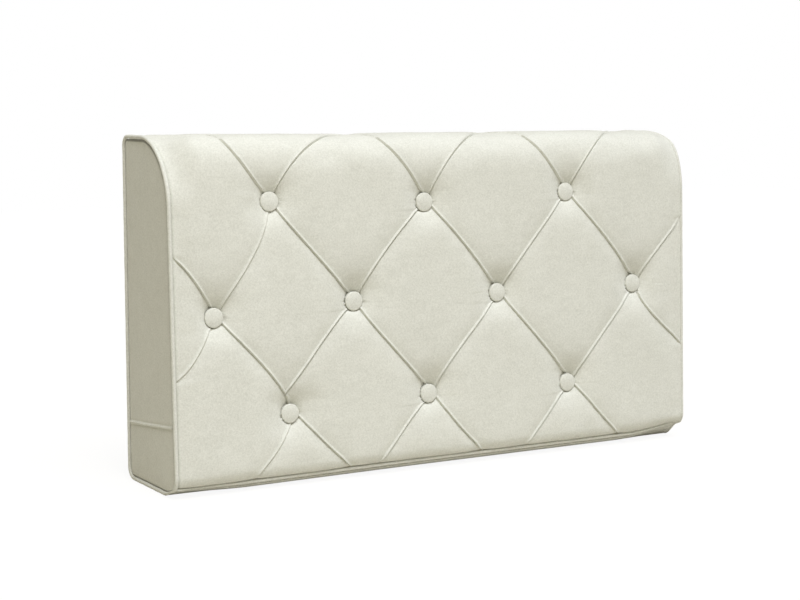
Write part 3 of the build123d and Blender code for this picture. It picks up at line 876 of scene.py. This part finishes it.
def makeFrontCover(look):
    # padding, folds and creases, rolled in at both ends and tucked in at the foot, over a thick backing
    distance = buttonDistance(coverX, coverUp)[0]
    byButton = 1 - look["flatterByButton"] * bump(distance, 0, look["flatterReach"])
    beyondButton = smooth(dimpleLook["cupRadius"] - 3 * mm, dimpleLook["cupRadius"], distance)
    folded = (foldHeight * byButton + wrinkled(coverX, coverUp)) * beyondButton
    radius = np.where(coverX < 0, look["leftRoll"], look["rightRoll"])
    roll = np.clip((np.abs(coverX) - coverEndX) / radius + 1, 0, 1)
    roll = -radius * (1 - np.sqrt(1 - look["rollDepth"] * roll ** 2))
    edges = roll - look["footTuck"] * smooth(upFoot + look["footTuckRun"], upFoot, coverUp)
    outer = offForm(coverX, coverUp, paddingHeight(coverX, coverUp) + folded + edges)
    inner = offForm(coverX, coverUp, softSurface(coverX, coverUp) + edges - look["backing"])
    piece = makePiece("tufted_front_cover", *shell(outer, inner, step=6), "cream_velvet", ["front_cover"])
    print("front cover:", len(piece.data.polygons), "faces")


makeFrontCover(coverLook)

# Wadding and foam under it
layerLook = dict(
    waddingOuter=5.0 * mm,
    waddingInner=10.2 * mm,
    foamOuter=10.5 * mm,
    foamInner=42.4 * mm,
    endX=447 * mm,
    pitch=9 * mm,
    rows=150,
    foamFoot=math.radians(-76),
    foamFootRise=5.5 * mm,
    foamLevel=(95 * mm, 70 * mm),
)


def layerGrid(foot, top, look):
    # x and up over a layer, with the height of the padding there
    x = np.linspace(-look["endX"], look["endX"], int(2 * look["endX"] / look["pitch"]))
    x, up = np.meshgrid(x, np.linspace(foot, top, look["rows"]))
    return x, up, softSurface(x, up)


def makeWadding(look):
    # the same padded form between two depths
    x, up, soft = layerGrid(upFoot + 2 * mm, upHem, look)
    outer, inner = (offForm(x, up, soft - look[depth]) for depth in ("waddingOuter", "waddingInner"))
    piece = makePiece("padding_wadding", *shell(outer, inner), "white_wadding", ["wadding"])


def makeFoam(look):
    # the padded form outside; its inner face is flat behind its foot and under the top
    foot = frontStart - baseRadius * (lean - look["foamFoot"])
    x, up, soft = layerGrid(foot, cornerEnd, look)
    sunk = look["foamOuter"] - look["foamFootRise"] * smooth(frontStart + 8 * mm, foot, up)
    outer = offForm(x, up, soft - sunk)
    level = smooth(*look["foamLevel"], up)[..., None]
    flat = outer.copy()
    flat[..., 1] = footY + outer[..., 2] * math.tan(lean) + look["foamInner"] / math.cos(lean)
    inner = offForm(x, up, -look["foamInner"]) * (1 - level) + flat * level
    inner[..., 1] = np.where(up > topEnd, outer[..., 1], inner[..., 1])
    inner[..., 2] = np.where(up > topEnd, height - look["foamInner"], inner[..., 2])
    piece = makePiece("padding_foam", *shell(outer, inner), "yellow_foam", ["foam_core"])


makeWadding(layerLook)
makeFoam(layerLook)
print("layers made")


def makeButton(name, look):
    # half profile turned about the surface normal: a low dome, a rounded edge with small gathers, a side
    x, up = buttons[name]
    point, normal = surfaceAt(x, up)
    sideways = np.array([1.0, 0, 0])
    upwards = np.cross(normal, sideways)
    flat = look["radius"] - look["edge"]
    t = np.linspace(0.02, 1, 9)
    arc = np.linspace(0, math.pi / 2, 8)[1:]
    fall = look["edgeDepth"] - look["crownDepth"]
    radii = np.concatenate([flat * t, flat + look["edge"] * np.sin(arc), [look["footRadius"], 0.2 * mm]])
    depths = np.concatenate([
        look["crownDepth"] + fall * t ** look["domePower"],
        look["edgeDepth"] + look["edge"] * (1 - np.cos(arc)), [look["footDepth"], look["footDepth"]]])
    turn = np.linspace(0, 2 * math.pi, look["sides"], endpoint=False)
    gather = look["gatherDepth"] * np.cos(look["gathers"] * turn)
    gather = 1 + gather * smooth(flat, look["radius"], radii)[:, None]
    across = (radii[:, None] * np.cos(turn) * gather)[..., None]
    rise = (radii[:, None] * np.sin(turn) * gather)[..., None]
    ring = point + across * sideways + rise * upwards - depths[:, None, None] * normal
    faces = ringFaces(len(radii), look["sides"])
    piece = makePiece("covered_button_" + name, ring, faces, "cream_button", ["button_" + name])


for name in buttons:
    makeButton(name, buttonLook)
print("buttons made")


# Ends: the side outline as two chains of (y, z) from the middle of the base to the top
def arcPoints(centre, radius, start, end, spacing):
    # points along an arc between two angles
    turn = np.linspace(start, end, max(int(abs(end - start) * radius / spacing), 8))
    return np.stack([centre[0] + radius * np.cos(turn), centre[1] + radius * np.sin(turn)], 1)


def linePoints(a, b, spacing):
    # points between two places, without the two
    count = max(int(math.dist(a, b) / spacing), 2)
    t = np.linspace(0, 1, count + 1)[1:-1, None]
    return np.array(a) * (1 - t) + np.array(b) * t


def sideChains(inset, way, spacing):
    # straight runs joined by arcs, inset from the overall outline, the shoulder's arc with its fullness
    centre = (-backY + baseRadius, baseRadius)
    base = arcPoints(centre, baseRadius - inset, -math.pi / 2, -math.pi - lean, spacing)
    turn = np.linspace(math.pi - lean, math.pi / 2, max(int(1.55 * shoulderRadius / spacing), 8))
    share = (math.pi - lean - turn) / (math.pi / 2 - lean)
    radius = shoulderRadius - inset + fullness(way * coverEndX, frontEnd + share * (shoulderEnd - frontEnd))
    shoulder = np.stack([shoulderY + radius * np.cos(turn), shoulderZ + radius * np.sin(turn)], 1)
    front = np.concatenate([base, linePoints(base[-1], shoulder[0], spacing), shoulder])
    low, high = form["lowBackRadius"] - inset, form["topBackRadius"] - inset
    back = backY - inset
    lowArc = arcPoints((back - low, inset + low), low, -math.pi / 2, 0, spacing)
    topArc = arcPoints((back - high, height - inset - high), high, 0, math.pi / 2, spacing)
    back = np.concatenate([
        base[:1], linePoints(base[0], lowArc[0], spacing), lowArc, linePoints(lowArc[-1], topArc[0], spacing),
        topArc, linePoints(topArc[-1], shoulder[-1], spacing), shoulder[-1:]])
    return front, back


pipingLook = dict(radius=3 * mm, spacing=3 * mm, sides=14, waver=0.025, frontSteps=260, frontOver=1.5 * mm)


def makeEndPiping(side, way, look):
    # tube along the outline inset by its own radius, its thickness wavering a little
    low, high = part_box(f"{side}_end_piping")
    front, back = sideChains(look["radius"], way, look["spacing"])
    line = np.concatenate([back[:-1], front[::-1][:-1]])
    path = np.stack([np.full(len(line), (low.x + high.x) / 2), line[:, 0], line[:, 1]], 1)
    turn = np.linspace(0, 2 * math.pi, len(line), endpoint=False)
    radius = look["radius"] * (1 + look["waver"] * (np.sin(37 * turn) + 0.6 * np.sin(61 * turn + 1)))
    points, faces = tube(path, np.tile([1.0, 0, 0], (len(line), 1)), radius, look["sides"])
    makePiece(f"{side}_piping_cord", points, faces, "cream_piping", [f"{side}_end_piping"])


def makeFrontPiping(look):
    # straight tube along the base of the front, a little longer than its node
    low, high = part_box("front_piping")
    x = np.linspace(low.x - look["frontOver"], high.x + look["frontOver"], look["frontSteps"])
    path = np.stack(np.broadcast_arrays(x, (low.y + high.y) / 2, (low.z + high.z) / 2), 1)
    radius = look["radius"] * (1 + look["waver"] * (np.sin(x / 0.004) + 0.6 * np.sin(x / 0.0025 + 1)))
    points, faces = tube(path, np.tile([0, 1.0, 0], (len(path), 1)), radius, look["sides"], closed=False)
    makePiece("front_piping_cord", points, faces, "cream_piping", ["front_piping"])


for side, way in (("left", -1), ("right", 1)):
    makeEndPiping(side, way, pipingLook)
makeFrontPiping(pipingLook)
print("pipings made")

endLook = dict(
    inset=6.5 * mm,
    rise=1.5 * mm,
    rollWidth=2.0 * mm,
    crown=0.9 * mm,
    crownReach=22 * mm,
    seamFront=100 * mm,
    seamBack=84 * mm,
    columns=60,
    columnCrowding=1.8,
    upperRows=170,
    upperCrowding=2.4,
    lowerRows=70,
    lowerCrowding=2.2,
    lap=5 * mm,
    lapRise=1.7 * mm,
    lipThickness=2.6 * mm,
    lipRun=1.4 * mm,
    foldOver=1.4 * mm,
    foldOverAt=(2.2 * mm, 1.9 * mm),
    stitchLine=0.5 * mm,
    stitchLineAt=(5.6 * mm, 1.4 * mm),
    underLap=0.2 * mm,
    underLapRun=3 * mm,
    lapFromEdge=4 * mm,
    uneven=0.3 * mm,
    unevenFromEdge=25 * mm,
    # painted shade along the end covers' outline, for the shadow in the gap beside the piping: its darkness,
    # and its width at the front, back, top and foot
    paintedShade=0.55,
    paintedShadeWidths=(3.4 * mm, 2.0 * mm, 1.0 * mm, 1.6 * mm),
    padInset=9.5 * mm,
    padEdge=3 * mm,
)


def crowded(count, power):
    # places from 0 to 1 that crowd towards both ends
    t = np.linspace(-1, 1, count)
    return (np.sign(t) * (1 - (1 - np.abs(t)) ** power) + 1) / 2


def endEdges(z, chains):
    # y of the front and of the back outline at each z
    return [np.interp(z, chain[:, 1], chain[:, 0]) for chain in chains]


def endField(u, z, inset, chains):
    # y from front to back by u, and a soft minimum of the distances to the four sides
    front, back = endEdges(z, chains)
    y = front + (back - front) * u
    runs = [y - front, back - y, height - inset - z, z - inset]
    return y, sum(np.maximum(run, 0.01 * mm) ** -4.0 for run in runs) ** -0.25


def paintEndShade(piece, chains, look):
    # painted shade in a point attribute: darkness * exp(-(distance / width)^2) from the outline, with a width
    # for each side, standing in for the shadow in the gap beside the piping
    place = np.empty(3 * len(piece.data.vertices))
    piece.data.vertices.foreach_get("co", place)
    y, z = place.reshape(-1, 3)[:, 1:].T
    front, back = endEdges(z, chains)
    runs = [y - front, back - y, height - look["inset"] - z, z - look["inset"]]
    near = np.maximum(np.minimum.reduce([run / width for run, width in zip(runs, look["paintedShadeWidths"])]), 0)
    paintedShade = piece.data.attributes.new("paintedShade", "FLOAT", "POINT")
    paintedShade.data.foreach_set("value", look["paintedShade"] * np.exp(-near ** 2))


def makeEndCover(side, way, part, look):
    # a field over (u, v): u from front to back, v up from the slanting seam or down from it; its height
    # rises steeply in a roll at the outline, then slowly as a crown; the upper one laps over the lower
    low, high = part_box(f"{side}_end_{part}_cover")
    innerX = min(abs(low.x), abs(high.x))
    chains = sideChains(look["inset"], way, 0.5 * mm)
    u = crowded(look["columns"], look["columnCrowding"])[None]
    v = crowded(look[part + "Rows"], look[part + "Crowding"])[:, None]
    seam = look["seamFront"] + (look["seamBack"] - look["seamFront"]) * u
    if part == "upper":
        z = seam + (height - look["inset"] - seam) * v
    else:
        z = look["inset"] + (seam + look["lap"] - look["inset"]) * v
    y, near = endField(u, z, look["inset"], chains)
    x = innerX + look["rise"] * (1 - np.exp(-near / look["rollWidth"])) ** 0.7
    x = x + look["crown"] * (1 - np.exp(-near / look["crownReach"]))
    x = x + uneven(y * 1.7 + 0.1 * way, z * 0.9, look["uneven"]) * smooth(0, look["unevenFromEdge"], near)
    above = z - seam
    inside = smooth(0, look["lapFromEdge"], near)
    flat = np.full_like(x, innerX)
    if part == "upper":
        lip = innerX + look["lapRise"] + look["lipThickness"] * np.sqrt(np.clip(above / look["lipRun"], 0, 1))
        x = np.minimum(x + look["foldOver"] * bump(above, *look["foldOverAt"]) * inside, lip)
        x = x - look["stitchLine"] * bump(above, *look["stitchLineAt"]) * inside
        flat = flat + look["lapRise"] * smooth(look["lap"] + 2 * mm, look["lap"], above) * inside
        x = np.maximum(x, flat + 0.05 * mm)
    else:
        sunk = (x - innerX - look["lapRise"] + look["underLap"]) * inside
        x = x - sunk * smooth(-look["underLapRun"], 0, above)
    outer, inner = (np.stack([way * far, y, z], -1) for far in (x, flat))
    replaced = f"{side}_end_{part}_cover"
    piece = makePiece(f"{side}_end_{part}_velvet", *shell(outer, inner), "cream_velvet", [replaced])
    # painted shade along the outline of the end cover, where the gap beside the piping lies in shadow
    paintEndShade(piece, chains, look)


def makeEndWadding(side, way, look):
    # flat pad with rounded edges inside the outline
    low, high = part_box(f"{side}_end_wadding")
    inset = look["padInset"]
    u, z = np.meshgrid(crowded(26, 1.6), inset + (height - 2 * inset) * crowded(60, 1.8))
    y, near = endField(u, z, inset, sideChains(inset, way, 1 * mm))
    half = (high.x - low.x) / 2 * (0.35 + 0.6 * (1 - np.exp(-near / look["padEdge"])))
    middle = (high.x + low.x) / 2
    outer, inner = (np.stack([middle + out * half, y, z], -1) for out in (1, -1))
    piece = makePiece(f"{side}_end_pad", *shell(outer, inner), "white_wadding", [f"{side}_end_wadding"])


for side, way in (("left", -1), ("right", 1)):
    makeEndWadding(side, way, endLook)
    for part in ("upper", "lower"):
        makeEndCover(side, way, part, endLook)
print("ends made")

# Cover of the base: a strip from the back hem round the low corners to the front piping
baseLook = dict(
    hemZ=34 * mm,
    hemRun=7 * mm,
    backInset=1.1 * mm,
    lift=0.2 * mm,
    frontAngle=-58,
    tuck=((0.3 * mm, 1.2 * mm), (1.2 * mm, 2.4 * mm)),
    inside=(0, 60 * mm),
    spacing=8 * mm,
    thickness=1.3 * mm,
    columns=120,
)


def makeBaseCover(look):
    # profile of lines and arcs, carried along x
    radius = form["lowBackRadius"] - look["backInset"]
    centre = (backY - form["lowBackRadius"], form["lowBackRadius"])
    arc = np.linspace(0, -math.pi / 2, 16)
    spread = np.array([radius, form["lowBackRadius"] - look["lift"]])
    corner = np.stack([np.cos(arc), np.sin(arc)], 1) * spread + centre
    frontCentre = (-backY + baseRadius, baseRadius)
    arc = np.radians(np.linspace(-90, look["frontAngle"], 14))
    rising = np.stack([-np.cos(arc), np.sin(arc)], 1) * (baseRadius - look["lift"]) + frontCentre
    start = np.array([[corner[0, 0], look["hemZ"] - down] for down in (0, look["hemRun"])])
    outer = np.concatenate([
        start, corner, linePoints(corner[-1], rising[0], look["spacing"]), rising, rising[-1] + look["tuck"]])
    step = np.gradient(outer, axis=0)
    step /= np.linalg.norm(step, axis=1, keepdims=True)
    square = np.stack([step[:, 1], -step[:, 0]], 1)
    square *= np.sign(np.sum(square * (np.array(look["inside"]) - outer), 1))[:, None]
    inner = outer + square * look["thickness"]
    x = np.linspace(-coverEndX, coverEndX, look["columns"])
    sheets = [np.stack(np.broadcast_arrays(x, line[:, :1], line[:, 1:]), -1) for line in (outer, inner)]
    piece = makePiece("base_velvet", *shell(*sheets), "cream_velvet", ["bottom_cover"])


makeBaseCover(baseLook)

# Dust cloth over the back, stapled round its folded hem, with holes over the inserts
clothLow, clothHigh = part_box("back_dust_cloth")
dustLook = dict(
    holeX=200 * mm,
    holeRadius=7 * mm,
    patch=16 * mm,
    hem=13 * mm,
    hemThickness=0.35 * mm,
    thickness=0.5 * mm,
    sag=0.5 * mm,
    sagRun=90 * mm,
    wave=0.2 * mm,
    waveLength=9.2 * mm,
    waveReach=40 * mm,
    pitch=8 * mm,
    stapleCounts=(16, 8),
    stapleMargins=(25 * mm, 40 * mm),
    stapleTilt=0.12,
    stapleLength=11 * mm,
    stapleWire=0.45 * mm,
    stapleSides=8,
)
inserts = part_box("threaded_inserts")
holeZ = [inserts[0].z + 11 * mm, inserts[1].z - 11 * mm]


def clothY(x, z, look):
    # nearly flat, drawn tight between hems, with slight waves between the staples and a step at the hem
    runX = np.minimum(x - clothLow.x, clothHigh.x - x)
    runZ = np.minimum(z - clothLow.z, clothHigh.z - z)
    run = np.minimum(runX, runZ)
    waves = sum(np.sin(t / look["waveLength"]) * np.exp(-away / look["waveReach"])
                for t, away in ((x, runZ), (z, runX)))
    waves = look["wave"] * waves * smooth(0, 20 * mm, run)
    sag = look["sag"] * smooth(0, look["sagRun"], run) * (0.6 + 0.4 * np.sin(x / 0.05) * np.sin(z / 0.04))
    hem = look["hemThickness"] * smooth(look["hem"] + 0.8 * mm, look["hem"] - 0.2 * mm, run)
    return clothHigh.y - 0.5 * mm - sag + waves * 0.8 + hem


def makeDustCloth(look):
    # blocks of a grid, with a ring of quads round each hole, brought together and given a thickness
    lines = [[low, *[hole + out for hole in holes for out in (-look["patch"], look["patch"])], high]
             for low, holes, high in ((clothLow.x, (-look["holeX"], look["holeX"]), clothHigh.x),
                                      (clothLow.z, holeZ, clothHigh.z))]
    side = np.linspace(-1, 1, 9)[:-1]
    still = np.ones_like(side)
    square = np.concatenate([np.stack(pair, 1) for pair in (
        (side, -still), (still, side), (-side, still), (-still, -side))]) * look["patch"]
    turn = np.arctan2(square[:, 1], square[:, 0])
    circle = np.stack([np.cos(turn), np.sin(turn)], 1) * look["holeRadius"]
    t = np.linspace(0, 1, 5)[:, None, None]
    hole = square * (1 - t) + circle * t
    points, faces, count = [], [], 0

    def places(block):
        # even places over a block, and a few more at the step of a hem in it
        a, b = block
        hems = [h for h in (clothLow.x + look["hem"], clothHigh.x - look["hem"],
                            clothLow.z + look["hem"], clothHigh.z - look["hem"])
                if a < h < b and (a in (clothLow.x, clothLow.z) or b in (clothHigh.x, clothHigh.z))]
        extra = [h + d for h in hems for d in (-0.4 * mm, 0.2 * mm, 0.9 * mm, -1 * mm)]
        return np.unique(np.concatenate([np.linspace(a, b, max(int((b - a) / look["pitch"]), 8) + 1), extra]))

    for i, blockX in enumerate(zip(lines[0], lines[0][1:])):
        for j, blockZ in enumerate(zip(lines[1], lines[1][1:])):
            if i in (1, 3) and j in (1, 3):
                xs, zs = np.moveaxis(hole + np.array([sum(blockX) / 2, sum(blockZ) / 2]), -1, 0)
                quads = gridQuads(5, len(square), closeColumns=True)
            else:
                xs, zs = np.meshgrid(places(blockX), places(blockZ))
                quads = gridQuads(*xs.shape)
            points.append(np.stack([xs, clothY(xs, zs, look), zs], -1).reshape(-1, 3))
            faces += (quads + count).tolist()
            count += xs.size
    points = np.concatenate(points)
    piece = makePiece("dust_cloth", points, faces, "grey_dust_cloth", ["back_dust_cloth"], merge=0.05 * mm)
    solid = piece.modifiers.new("thickness", "SOLIDIFY")
    solid.thickness = look["thickness"]
    solid.offset = 0


def makeStaples(look):
    # wire bars with rounded ends, lying on the hem
    run = look["hem"] / 2
    ends = (clothLow.x, clothHigh.x), (clothLow.z, clothHigh.z)
    sides = zip(ends, look["stapleMargins"], look["stapleCounts"])
    xs, zs = (np.linspace(low + margin, high - margin, count) for (low, high), margin, count in sides)
    spots = [(x, z, 0) for x in xs for z in (clothLow.z + run, clothHigh.z - run)]
    spots += [(x, z, math.pi / 2) for z in zs for x in (clothLow.x + run, clothHigh.x - run)]
    x, z, tilt = np.array(spots).T
    tilt = tilt + look["stapleTilt"] * np.sin(np.arange(len(spots)) * 2.4)
    outward = np.array([0, 1.0, 0])
    along = np.stack([np.cos(tilt), 0 * tilt, np.sin(tilt)], 1)
    across = np.cross(along, outward)
    t = np.array([-1, -0.94, -0.85, 0.85, 0.94, 1]) * look["stapleLength"] / 2
    drop = np.array([1.3, 0.35, 0, 0, 0.35, 1.3]) * mm
    turn = np.linspace(0, 2 * math.pi, look["stapleSides"], endpoint=False)[:, None]
    y = clothY(x, z, look) + look["thickness"] / 2 + look["stapleWire"] * 0.6
    line = np.stack([x, y, z], 1)[:, None] + along[:, None] * t[:, None] - outward * drop[:, None]
    ring = np.cos(turn) * across[:, None, None] + np.sin(turn) * outward
    points = line[:, :, None] + ring * look["stapleWire"]
    each = len(t) * len(turn)
    faces = [[k + each * n for k in face] for n in range(len(spots)) for face in ringFaces(len(t), len(turn))]
    makePiece("dust_cloth_staples", points, faces, "zinc_steel", merge=0.001 * mm)


makeDustCloth(dustLook)
makeStaples(dustLook)
print("back made")

# Floor and backdrop, lamp and world
stageLook = dict(
    floorHalf=6,
    floorDrop=0.5 * mm,
    floor=(0.62, 0.59, 0.51),
    floorWhite=0.85,
    floorGlow=1.08,
    worldLeft=(0.248, 0.222, 0.135),
    worldRight=(0.53, 0.522, 0.50),
    sunStrength=2.12,
    sunColour=(0.96, 1.0, 1.12),
    sunAngle=34,
    sunHeight=64,
    panelPlace=(-0.75, -1.2, 2.3),
    panelAim=(0, 0, 0.25),
    panelSize=0.9,
    panelPower=15.6,
    panelColour=(1.0, 0.965, 0.87),
)


def makeWorld(look):
    # warm dim surroundings that light the object; what the camera, glossy and transmitted rays meet is white
    world = bpy.data.worlds.new("studio")
    bpy.context.scene.world = world
    world.use_nodes = True
    tree = world.node_tree
    tree.nodes.clear()
    around = addNode(tree, "ShaderNodeTexCoord").outputs["Generated"]
    side = addNode(tree, "ShaderNodeSeparateXYZ", {"Vector": around}).outputs["X"]
    share = addNode(tree, "ShaderNodeMapRange", {"Value": side, "From Min": -1, "From Max": 1}).outputs[0]
    colour = colourRamp(tree, share, [(0, look["worldLeft"]), (1, look["worldRight"])])
    dim = addNode(tree, "ShaderNodeBackground", {"Color": colour, "Strength": 1.0}).outputs[0]
    white = addNode(tree, "ShaderNodeBackground", {"Color": (1, 1, 1, 1), "Strength": 1.0}).outputs[0]
    path = addNode(tree, "ShaderNodeLightPath").outputs
    seen = maths(tree, "MAXIMUM", path["Is Camera Ray"], path["Is Glossy Ray"])
    seen = maths(tree, "MAXIMUM", seen, path["Is Transmission Ray"])
    mix = addNode(tree, "ShaderNodeMixShader", {0: seen, 1: dim, 2: white}).outputs[0]
    addNode(tree, "ShaderNodeOutputWorld", {"Surface": mix})


def makeFloor(look):
    # pale matt floor; towards the camera it is mostly plain white, so that only a faint shadow is left
    half = look["floorHalf"]
    mesh = bpy.data.meshes.new("floor")
    corners = [(-half, -half, 0), (half, -half, 0), (half, half, 0), (-half, half, 0)]
    mesh.from_pydata(corners, [], [(0, 1, 2, 3)])
    floor = addObject("floor", mesh)
    floor.location.z = -look["floorDrop"]
    material, tree, shader = newMaterial("pale floor")[:3]
    setInputs(tree, shader, {"Base Color": (*look["floor"], 1), "Roughness": 0.9})
    white = addNode(tree, "ShaderNodeEmission", {"Color": (1, 1, 1, 1), "Strength": look["floorGlow"]})
    seen = addNode(tree, "ShaderNodeLightPath").outputs["Is Camera Ray"]
    share = maths(tree, "MULTIPLY", seen, look["floorWhite"])
    mix = addNode(tree, "ShaderNodeMixShader", {0: share, 1: shader.outputs[0], 2: white.outputs[0]})
    setInputs(tree, tree.nodes["Material Output"], {"Surface": mix.outputs[0]})
    mesh.materials.append(material)


def addLamp(name, kind, place, aim, **values):
    # a lamp at a place, turned along its aim
    light = bpy.data.lights.new(name, kind)
    for key, value in values.items():
        setattr(light, key, value)
    lamp = addObject(name, light)
    lamp.location = place
    lamp.rotation_euler = aim.to_track_quat("-Z", "Y").to_euler()


def makeLamp(look):
    # one wide soft lamp high in front
    rise = math.radians(look["sunHeight"])
    aim = Vector((0, math.cos(rise), -math.sin(rise)))
    addLamp("high front lamp", "SUN", (0, 0, 0), aim, energy=look["sunStrength"], color=look["sunColour"],
            angle=math.radians(look["sunAngle"]))


def makePanel(look):
    # square soft lamp at the upper left, near enough that the right half gets less of it
    place = Vector(look["panelPlace"])
    addLamp("left panel lamp", "AREA", place, Vector(look["panelAim"]) - place, energy=look["panelPower"],
            color=look["panelColour"], size=look["panelSize"])


makePanel(stageLook)
makeWorld(stageLook)
makeFloor(stageLook)
makeLamp(stageLook)

# Camera, where the photograph was taken from
cameraLook = dict(
    place=(-1402.9 * mm, -2309.5 * mm, 565.3 * mm),
    azimuth=0.53343,
    tilt=0.11653,
    focalPixels=1740,
    imageWidth=800,
    sensor=36,
)


def makeCamera(look):
    # its axes from azimuth and tilt: to the right, upwards and back
    data = bpy.data.cameras.new("camera")
    camera = addObject("camera", data)
    azimuth, tilt = look["azimuth"], look["tilt"]
    ahead = math.cos(tilt)
    forward = np.array([math.sin(azimuth) * ahead, math.cos(azimuth) * ahead, -math.sin(tilt)])
    level = np.array([math.cos(azimuth), -math.sin(azimuth), 0])
    turn = np.eye(4)
    turn[:3] = np.stack([level, np.cross(level, forward), -forward, look["place"]], 1)
    camera.matrix_world = Matrix(turn.tolist())
    data.sensor_width = look["sensor"]
    data.lens = look["focalPixels"] * look["sensor"] / look["imageWidth"]
    data.clip_start, data.clip_end = 0.05, 50
    bpy.context.scene.camera = camera


makeCamera(cameraLook)
bpy.context.scene.view_settings.view_transform = "Standard"
print("stage and camera set")

bpy.context.view_layer.update()
